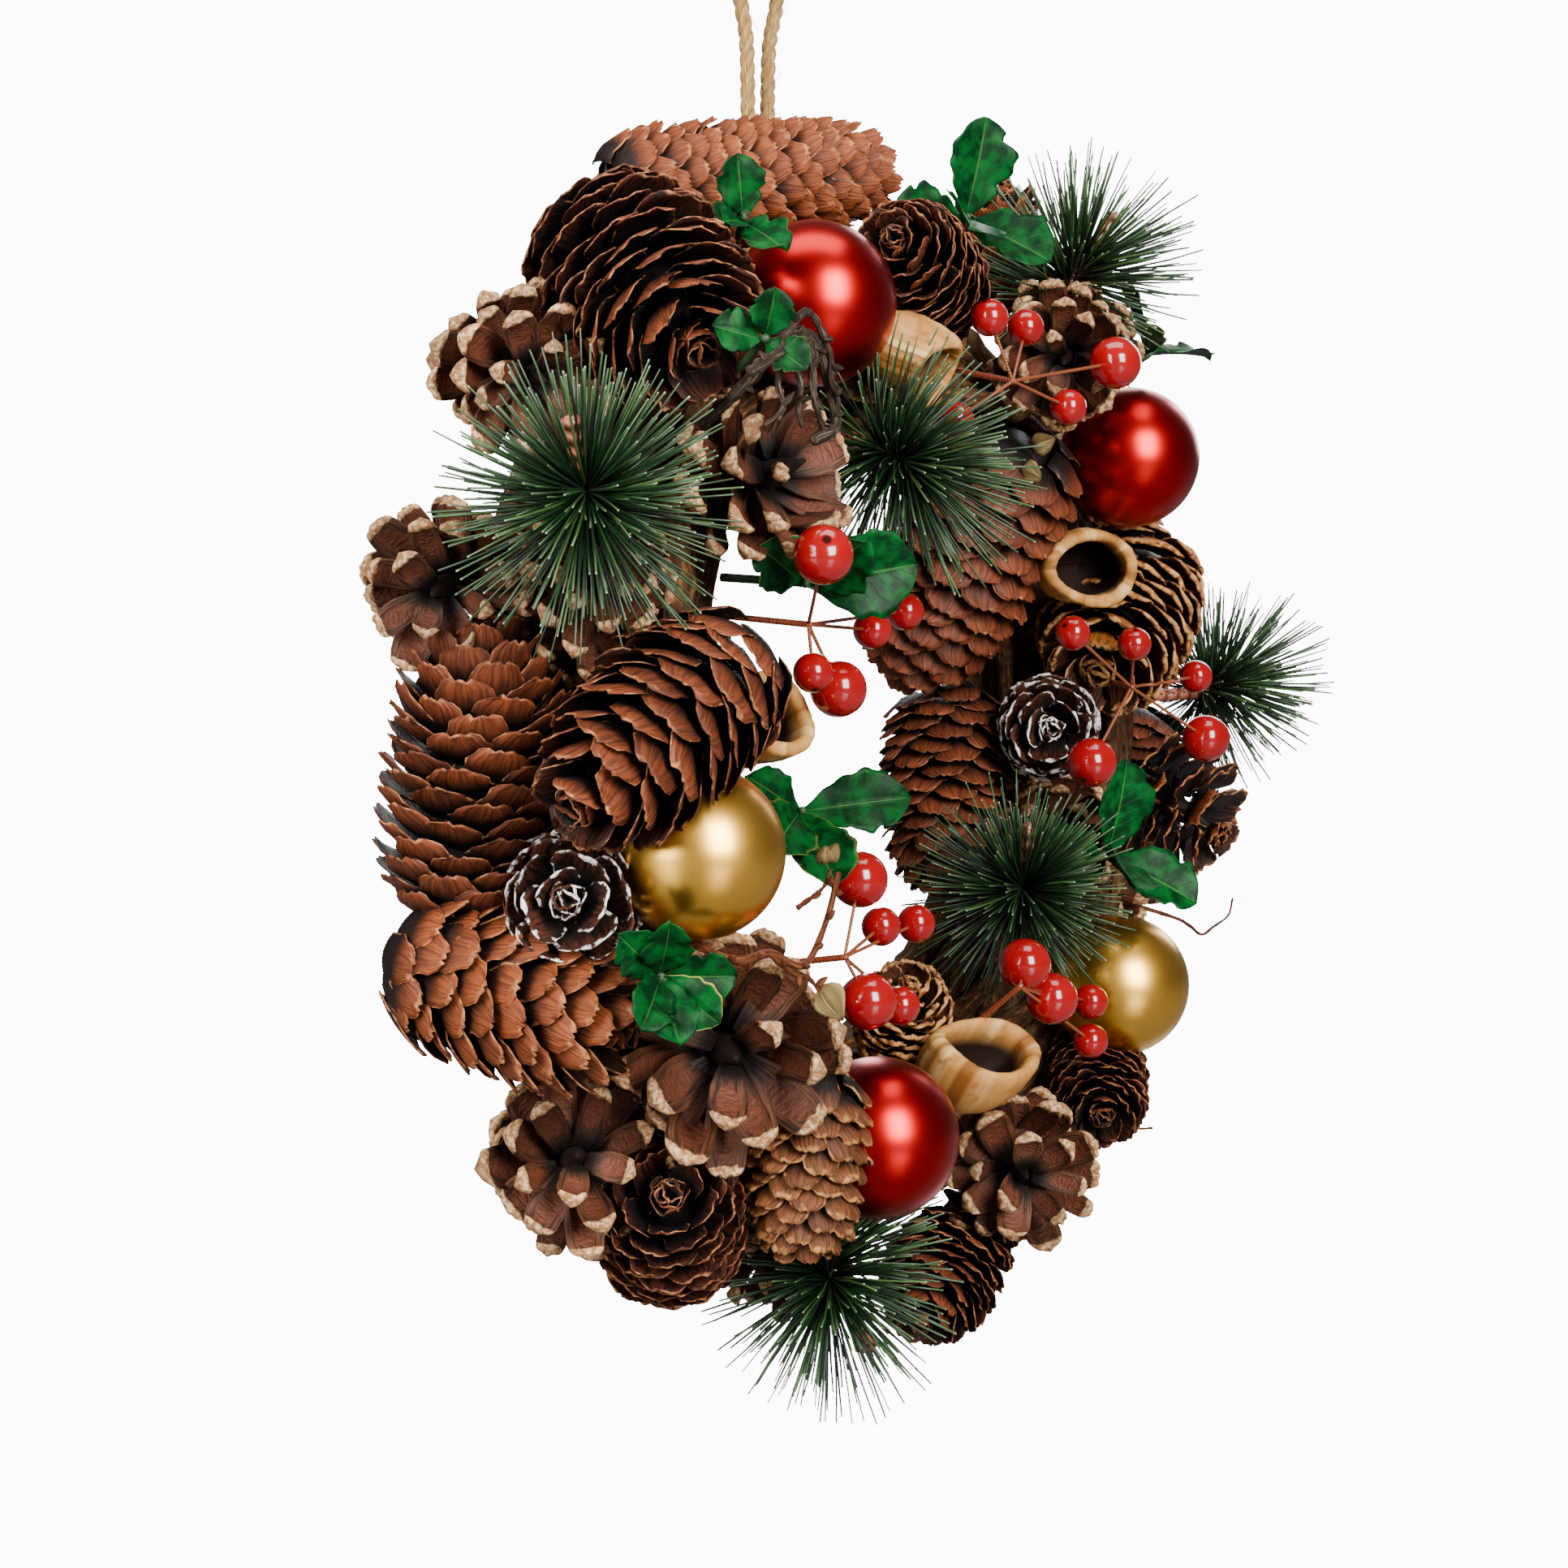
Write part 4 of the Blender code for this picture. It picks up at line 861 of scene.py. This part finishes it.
def wireMaterial():  # copper wire wound with red-brown paper tape
    paint = Paint("tapedCopperWire", {"Roughness": 0.35, "Coat Weight": 0.3, "IOR": 1.5})
    u, _, seed, run = paint.grain()
    ridge = paint.math("PINGPONG", paint.math("MULTIPLY_ADD", run, 2.4, u), 1.0)
    red, copper = paint.mix(ridge, "#4c0a06", "#7f1a10"), paint.mix(ridge, "#5c2c10", "#a06032")
    tone = paint.mix(paint.chance(seed), red, copper)
    return paint.finish(tone, paint.bump(ridge, 0.5, 0.0002))


berryRed, wireRed = berryMaterial(), wireMaterial()
dice = random.Random(31)
for node, fork, clusters in berries:
    forkAt = pushClear(heart(fork), 2.0, node)
    wires, heap = Heap(), Heap()
    root = rooted(forkAt, 1.9, node)
    tube(wires, smooth([root, forkAt + unit(forkAt - root) * 0.8], 1.5), fruit["stem"], 8, seed=0.1)
    for at, width in clusters:
        radius, centre = width / 2, pushClear(heart(at), width / 2 + 0.5, node)
        found = clearRoute(forkAt, centre, 1.1, node)
        toward = unit(found[-2] - centre)
        found[-1] = centre + toward * width * 0.42
        tube(wires, smooth(found, 1.2), fruit["wire"], 8, seed=dice.random())
        profile = [(radius * math.sin(a), radius * math.cos(a) * (1 - 0.05 * math.cos(a) ** 8))
                   for a in np.radians(np.linspace(6, 172, 20))]
        turned(heap, centre, -toward, [(0.0, radius * 0.93), *profile, (0.0, -radius * 0.95)],
               fruit["sides"], seed=dice.random())
    heap.make(camel(node), berryRed, "berry", [node])
    wires.make(camel(node) + "Wires", wireRed, "berry")
print("berries")

# Twigs, tendrils and papery buds

greyTwig = barkMaterial("greyTwigBark", 0.85, "#0e0a07", "#2e2219", "#6a5b4a", "#453a2e", 0.0009)
brownTwig = barkMaterial("brownTwigBark", 0.65, "#220e06", "#5a2c14", "#8f5430", "#5c3018", 0.0005)
budHusk = barkMaterial("paperyBudHusk", 0.75, "#5a4420", "#6e5a34", "#a08a58", "#544626", 0.0012)
branches = {  # forks of each twig: thickness and points
    "twig_gnarled": ((2.8, ((-126, 54, 74), (-122, 56, 77), (-115, 56, 80), (-107, 56, 84))),
                     (2.0, ((-117, 56, 82), (-115, 58, 86), (-110, 58, 88), (-105, 58, 84), (-102, 58, 79),
                            (-102, 58, 75), (-98, 57, 71), (-97, 56, 68))),
                     (2.4, ((-107, 56, 82), (-106, 56, 79), (-106, 56, 73), (-104, 56, 68), (-101, 55, 65))),
                     (2.0, ((-114, 55, 80), (-109, 55, 74), (-110, 55, 68), (-107, 54, 65))),
                     (1.8, ((-112, 53, 78), (-116, 54, 73), (-114, 54, 68), (-118, 52, 64)))),
    "twig_budded": ((1.3, ((-100, 48, -37), (-92, 49, -33), (-89, 49, -29))),
                    (1.6, ((-112, 49, -46), (-106, 50, -50), (-99, 50, -52), (-95, 51, -56)))),
}
tendrils = (((131, 20, -49), (142, 20, -52), (150, 20, -55), (158, 20, -53), (168, 20, -50), (171, 20, -45)),
            ((109, 16, -88), (116, 16, -95), (122, 16, -103), (114, 16, -101), (112, 16, -105),
             (117, 16, -109), (126, 16, -110)),
            ((101, 16, -86), (104, 16, -94), (101, 16, -97), (92, 16, -102), (93, 16, -109), (87, 16, -113)))
buds = (((-3, 44, 78), (-0.3, 0.6, 0.7), 11, 8), ((11, 42, 73), (0.3, 0.7, 0.4), 7, 6),
        ((1, 45, 66), (-0.2, 0.8, -0.3), 6, 6), ((-95, 50, -54), (0.3, 0.5, -0.7), 9, 7),
        ((-89, 49, -28), (-0.1, 0.5, 0.8), 5, 3.4), ((-91, 49, -28), (-0.5, 0.5, 0.7), 5, 3.2))


def addTwig(heap, points, thick, knobs, dice, taper=0.7):
    line = smooth(points, 0.8)
    share = np.linspace(0, 1, len(line))
    knobbly = 1 + knobs * np.sin(share * 41 + thick) * np.sin(share * 17)
    size = thick / 2 * (1 - (1 - taper) * share) * knobbly
    tube(heap, line, size, 12, seed=dice.random())
    return line


def landed(place):  # where the line of view through a place first meets a cone, a cup or the vine
    ahead = unit(heart(place) - eye)
    carriers = [row for row in others() if row[0].split("_")[0] in ("cone", "pod", "vine")]
    return eye + ahead * min(met(eye, ahead, 2 * view["distance"], carriers))


dice = random.Random(41)
for node, thick, points in twigs:
    knots = [pushClear(heart(p), thick / 2 + 0.8, node) for p in points]
    found = []
    for a, b in zip(knots, knots[1:]):
        found += clearRoute(a, b, thick / 2 + 0.35, node)[:-1]
    heap = Heap()
    gnarled = node == "twig_gnarled"
    lines = [addTwig(heap, [rooted(knots[0], thick, node), *found, knots[-1]],
                     thick * (0.9 if gnarled else 0.75), 0.25 if gnarled else 0.1, dice)]
    for size, fork in branches[node]:
        knots = [pushClear(heart(p), size / 2 + 0.4, node) for p in fork]
        lines.append(addTwig(heap, knots, size, 0.25, dice, 0.5))
    for line in lines:  # stubs or buds along it
        for at in range(6, len(line) - 2, 9):
            out = unit(line[at] - ringCentre(line[at]))
            out = out + np.array([dice.uniform(-0.9, 0.9) for _ in range(3)])
            size = dice.uniform(1.4, 2.8)
            tip = line[at] + unit(out) * (thick * 0.25 + size)
            tube(heap, [line[at], (line[at] * 2 + tip) / 3, (line[at] + tip * 2) / 3, tip],
                 [0.7, 0.9, 0.6, 0.2] if gnarled else [0.4, 0.8, 0.7, 0.12], 7, seed=dice.random())
    heap.make(camel(node), greyTwig if gnarled else brownTwig, "twig", [node])
heap = Heap()
for points in tendrils:
    knots = [heart(p) for p in points]
    addTwig(heap, [rooted(knots[0], 1.0, "twig_gnarled"), *knots], 1.3, 0.15, dice, 0.5)
heap.make("curledTendrils", brownTwig, "twig")
heap = Heap()
for number, (place, look, length, width) in enumerate(buds):
    foot = landed(place) if number < 3 else pushClear(heart(place), 1.0, "twig_gnarled")
    profile = [(width / 2 * math.sin(math.pi * s ** 0.8) * (1 - 0.3 * s) + 0.3, length * s)
               for s in np.linspace(0, 1, 9)]
    turned(heap, foot, way(look), [(0.0, 0.0), *profile, (0.0, length * 0.9)], 22, seed=number * 0.7,
           rough=lambda turn, share, at=number: 1 + 0.16 * np.sin(turn * 5 + share * 3 + at))
heap.verts = [curl(v, 0.5, 2.0) for v in heap.verts]
heap.make("paperyBuds", budHusk, "husk")
print("twigs")

# Leaves

leaf = {"rows": 26, "cols": 13, "thick": 0.42, "stem": 1.0, "smaller": {"leaves_low_left": 0.72}}


def leafMaterial():  # satin dyed leaf: deep green mottled blade, faint yellow-green midrib and veins
    paint = Paint("satinDyedLeaf", {"Roughness": 0.45, "IOR": 1.45, "Specular IOR Level": 0.12})
    u, v, seed, under = paint.grain()
    wide = paint.math("ABSOLUTE", u)
    rib = paint.fade(wide, 0.05, 0.01)
    slant = paint.math("MULTIPLY_ADD", wide, -0.22, v)
    wander = paint.math("MULTIPLY_ADD", paint.cloud(240.0), 0.8, paint.math("MULTIPLY", slant, 9.0))
    side = paint.fade(paint.math("PINGPONG", wander, 0.5), 0.05, 0.0)
    veins = paint.math("MAXIMUM", rib, paint.math("MULTIPLY", side, paint.fade(wide, 0.95, 0.3, 0.0, 0.4)))
    mottle = paint.cloud(260.0, 5.0)
    blade = paint.mix(paint.fade(mottle, 0.38, 0.66), "#00240c", "#024a18")
    blade = paint.mix(under, blade, "#0a3d1a")
    edge = paint.fade(paint.math("MULTIPLY", wide, paint.chance(seed)), 0.86, 0.95)
    tone = paint.mix(paint.math("MULTIPLY", veins, 0.45), blade, "#3f7a34")
    tone = paint.mix(edge, tone, "#93903c")
    tone = paint.vary(tone, seed, 0.75, 1.2)
    pit = paint.bump(paint.math("SUBTRACT", 1.0, veins), 0.5, 0.0004)
    return paint.finish(tone, paint.bump(mottle, 0.12, 0.0003, pit))


def spikes(node, origin, least):  # the ends of what sticks out from a point of a node
    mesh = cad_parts[node].data
    keys = [tuple(round(c * 1e5) for c in v.co) for v in mesh.vertices]
    places = {key: np.array(v.co) * perMetre for key, v in zip(keys, mesh.vertices)}
    around = {key: set() for key in places}
    for polygon in mesh.polygons:
        ring = [keys[i] for i in polygon.vertices]
        for a in ring:
            around[a].update(ring)
    far = {key: np.linalg.norm(place - origin) for key, place in places.items()}
    return [places[key] for key in sorted(places)
            if far[key] > least and far[key] >= max(far[k] for k in around[key])]


def addLeaf(heap, root, tip, normal, width, dice):
    chord = tip - root
    length, ahead = np.linalg.norm(chord), unit(chord)
    normal = unit(normal - ahead * normal.dot(ahead))
    u, v = sheet(np.linspace(0, 1, leaf["rows"]), leaf["cols"])
    body = np.sin(math.pi * v ** 1.35) ** 0.62  # widest past the middle, blunt at the end
    half = width / 2 * np.maximum(body, 0.07 * (1 - v) + 0.02)
    phase = dice.uniform(0, 6)
    half = half * (1 + 0.05 * np.sin(v * 31 + phase) + 0.03 * np.sin(v * 15 + phase * 2))
    for _ in range(2):  # small bites in the edge
        at, which = dice.uniform(0.35, 0.85), dice.choice((-1, 1))
        half = half * (1 - dice.uniform(0.1, 0.35) * np.exp(-((v - at) / 0.045) ** 2) * (u * which > 0.3))
    x = u * half
    z = 0.32 * np.abs(x) + 0.14 * length * (v - v * v) + 0.55 * np.sin(v * 13 + phase + u) * u * u
    z += dice.uniform(-1.0, 1.0) * v * v * u - 0.3 * np.exp(-(u / 0.08) ** 2)
    middle = root + times(v * length, ahead) + times(x, np.cross(ahead, normal)) + times(z, normal)
    skinned = times(leaf["thick"] * (1 - 0.5 * np.abs(u)), normal) / 2
    plate(heap, middle + skinned, middle - skinned, u, v, dice.random())


leafGreen = leafMaterial()
stems = Heap()
dice = random.Random(51)
for node, fork, look, length, width in sprigs:
    forkAt = pushClear(heart(fork), 3.2, node)
    grow = way(look)
    root = rooted(forkAt, 2.4, node)
    tube(stems, smooth([root, forkAt, forkAt + grow * 2.0], 1.0), leaf["stem"], 8, seed=dice.random())
    heap = Heap()
    for tip in spikes(node, forkAt, length * 0.5):
        ahead = unit(tip - forkAt)
        normal = grow - ahead * grow.dot(ahead)
        if np.linalg.norm(normal) < 0.25 or ahead.dot(unit(root - forkAt)) > 0.9:
            continue
        size, smaller = np.linalg.norm(tip - forkAt) / (length * 1.05), leaf["smaller"].get(node, 1.0)
        start = forkAt + ahead * 0.5 + grow * dice.uniform(0.2, 1.2)
        end = start + (tip - start) * smaller
        addLeaf(heap, start, end, normal, width * min(1.0, size) * smaller * 1.15, dice)
    heap.make(camel(node), leafGreen, "leaf", [node])
stemTape = Paint("greenTapedStem", {"Roughness": 0.6})  # dull dark green paper tape
stems.make("leafStems", stemTape.finish("#1d3a16"), "leaf")
print("leaves")

# Needle sprays

spray = {"needles": 430, "core": 15.0, "thick": 0.29, "sides": 4, "stem": 1.8, "end": 16.0}


def needleMaterial():  # moulded needles in several greens, each with a pale dot at its cut end
    paint = Paint("mouldedGreenNeedle", {"Roughness": 0.38, "IOR": 1.5, "Specular IOR Level": 0.5})
    _, v, seed, _ = paint.grain()
    chance = paint.chance(seed)
    body = paint.mix(paint.fade(chance, 0.2, 0.9), "#07150b", "#173618")
    body = paint.mix(paint.fade(chance, 0.88, 0.97), body, "#44632f")
    tone = paint.mix(paint.fade(v, 0.6, 1.0), body, paint.mix(0.25, body, "#5c8048"))
    dot = paint.math("MULTIPLY", paint.fade(v, 0.98, 0.99), paint.fade(chance, 0.55, 0.75))
    return paint.finish(paint.mix(dot, tone, "#8d9a7a"))


def tapeMaterial():  # stem wound with glossy brown paper tape
    paint = Paint("brownFloristTape", {"Roughness": 0.32, "Coat Weight": 0.4, "IOR": 1.5})
    u, _, _, run = paint.grain()
    ridge = paint.math("PINGPONG", paint.math("MULTIPLY_ADD", run, 0.55, u), 1.0)
    return paint.finish(paint.mix(ridge, "#4a1c10", "#b0644a"), paint.bump(ridge, 0.8, 0.0006))


needleGreen = needleMaterial()
ends = Heap()
dice = random.Random(61)
for node, at, look, endLook, length in sprays:
    grow, endWay = way(look), way(endLook)
    centre = pushClear(heart(at), 3.0, node)
    side, up = across(grow)
    root = rooted(centre - grow * 2.5, 3.6, node)
    bendAt = centre + (grow + endWay) * 4.0
    line = smooth([root, centre - grow * 2.2, bendAt, bendAt + endWay * spray["end"]], 0.5)
    swell = spray["stem"] * (1 + 0.12 * np.sin(np.arange(len(line)) * 0.9))
    tube(ends, line, swell, 14, seed=dice.random())
    heap = Heap()
    for i in range(spray["needles"]):
        share = (i + 0.5) / spray["needles"]
        lean = math.radians(-26 + 92 * share ** 1.1 + dice.uniform(-11, 11))
        flat = spun(side, up, i * goldenTurn)
        ahead = unit(spun(flat, grow, lean))
        start = centre + grow * spray["core"] * (share * 0.8 - 0.12) + flat * 0.8
        wanted = length * dice.uniform(0.62, 1.04)
        run = min([wanted] + [far - 0.6 for far in met(start, ahead, wanted, others(node))])
        if run < 5:
            continue
        bend = grow * run * dice.uniform(-0.02, 0.1) + np.array([dice.uniform(-1.2, 1.2) for _ in range(3)])
        thick = spray["thick"] * dice.uniform(0.85, 1.15)
        line = [start, start + ahead * run * 0.4 - bend * 0.4, start + ahead * run * 0.75 - bend * 0.3,
                start + ahead * run]
        tube(heap, line, [thick, thick, thick * 0.9, thick * 0.7], spray["sides"], seed=dice.random())
    heap.make(camel(node), needleGreen, "needle", [node])
ends.make("tapedStemEnds", tapeMaterial(), "twig")
print("needles")

# Stage and light

stage = {"edge": 8.0, "gap": 0.004, "bounce": 0.12, "backdrop": 12.0, "fill": 0.13}
softboxes = (  # name, how far aside, ahead and up, width, height, power
    ("softboxLeft", -560, 760, 220, 0.35, 0.6, 14.0), ("softboxRight", 460, 900, 330, 0.4, 0.6, 27.0),
    ("softboxTop", 0, 200, 1000, 0.9, 0.5, 9.0), ("softboxBack", 300, -1000, 500, 0.9, 0.6, 14.0))
paint = Paint("paleStudioFloor", {"Base Color": "#5a5a5a", "Roughness": 0.2, "Specular IOR Level": 0.4,
                                  "Emission Color": "#ffffff"})  # white, and it lights from below a little
mesh = bpy.data.meshes.new("floor")
edge = stage["edge"]
corners = [(-edge, -edge, 0), (edge, -edge, 0), (edge, edge, 0), (-edge, edge, 0)]
mesh.from_pydata(corners, [], [(0, 1, 2, 3)])
mesh.materials.append(paint.shine("Emission Strength", stage["bounce"], stage["backdrop"]))
floor = bpy.data.objects.new("floor", mesh)
floor.location.z = cadBounds[0].z - stage["gap"]
bpy.context.scene.collection.objects.link(floor)
sky = Paint("studio", {"Color": "#ffffff"}, bpy.data.worlds.new("studio"))
bpy.context.scene.world = sky.shine("Strength", stage["fill"], stage["backdrop"])
for name, aside, ahead, rise, wide, tall, power in softboxes:
    light = bpy.data.lights.new(name, "AREA")
    light.shape = "RECTANGLE"
    light.size, light.size_y, light.energy = wide, tall, power
    place = seenFrom(aside, ahead, rise)
    aimed(name, light, place, heart((0, 0, 0)) - place)
print("stage and light")
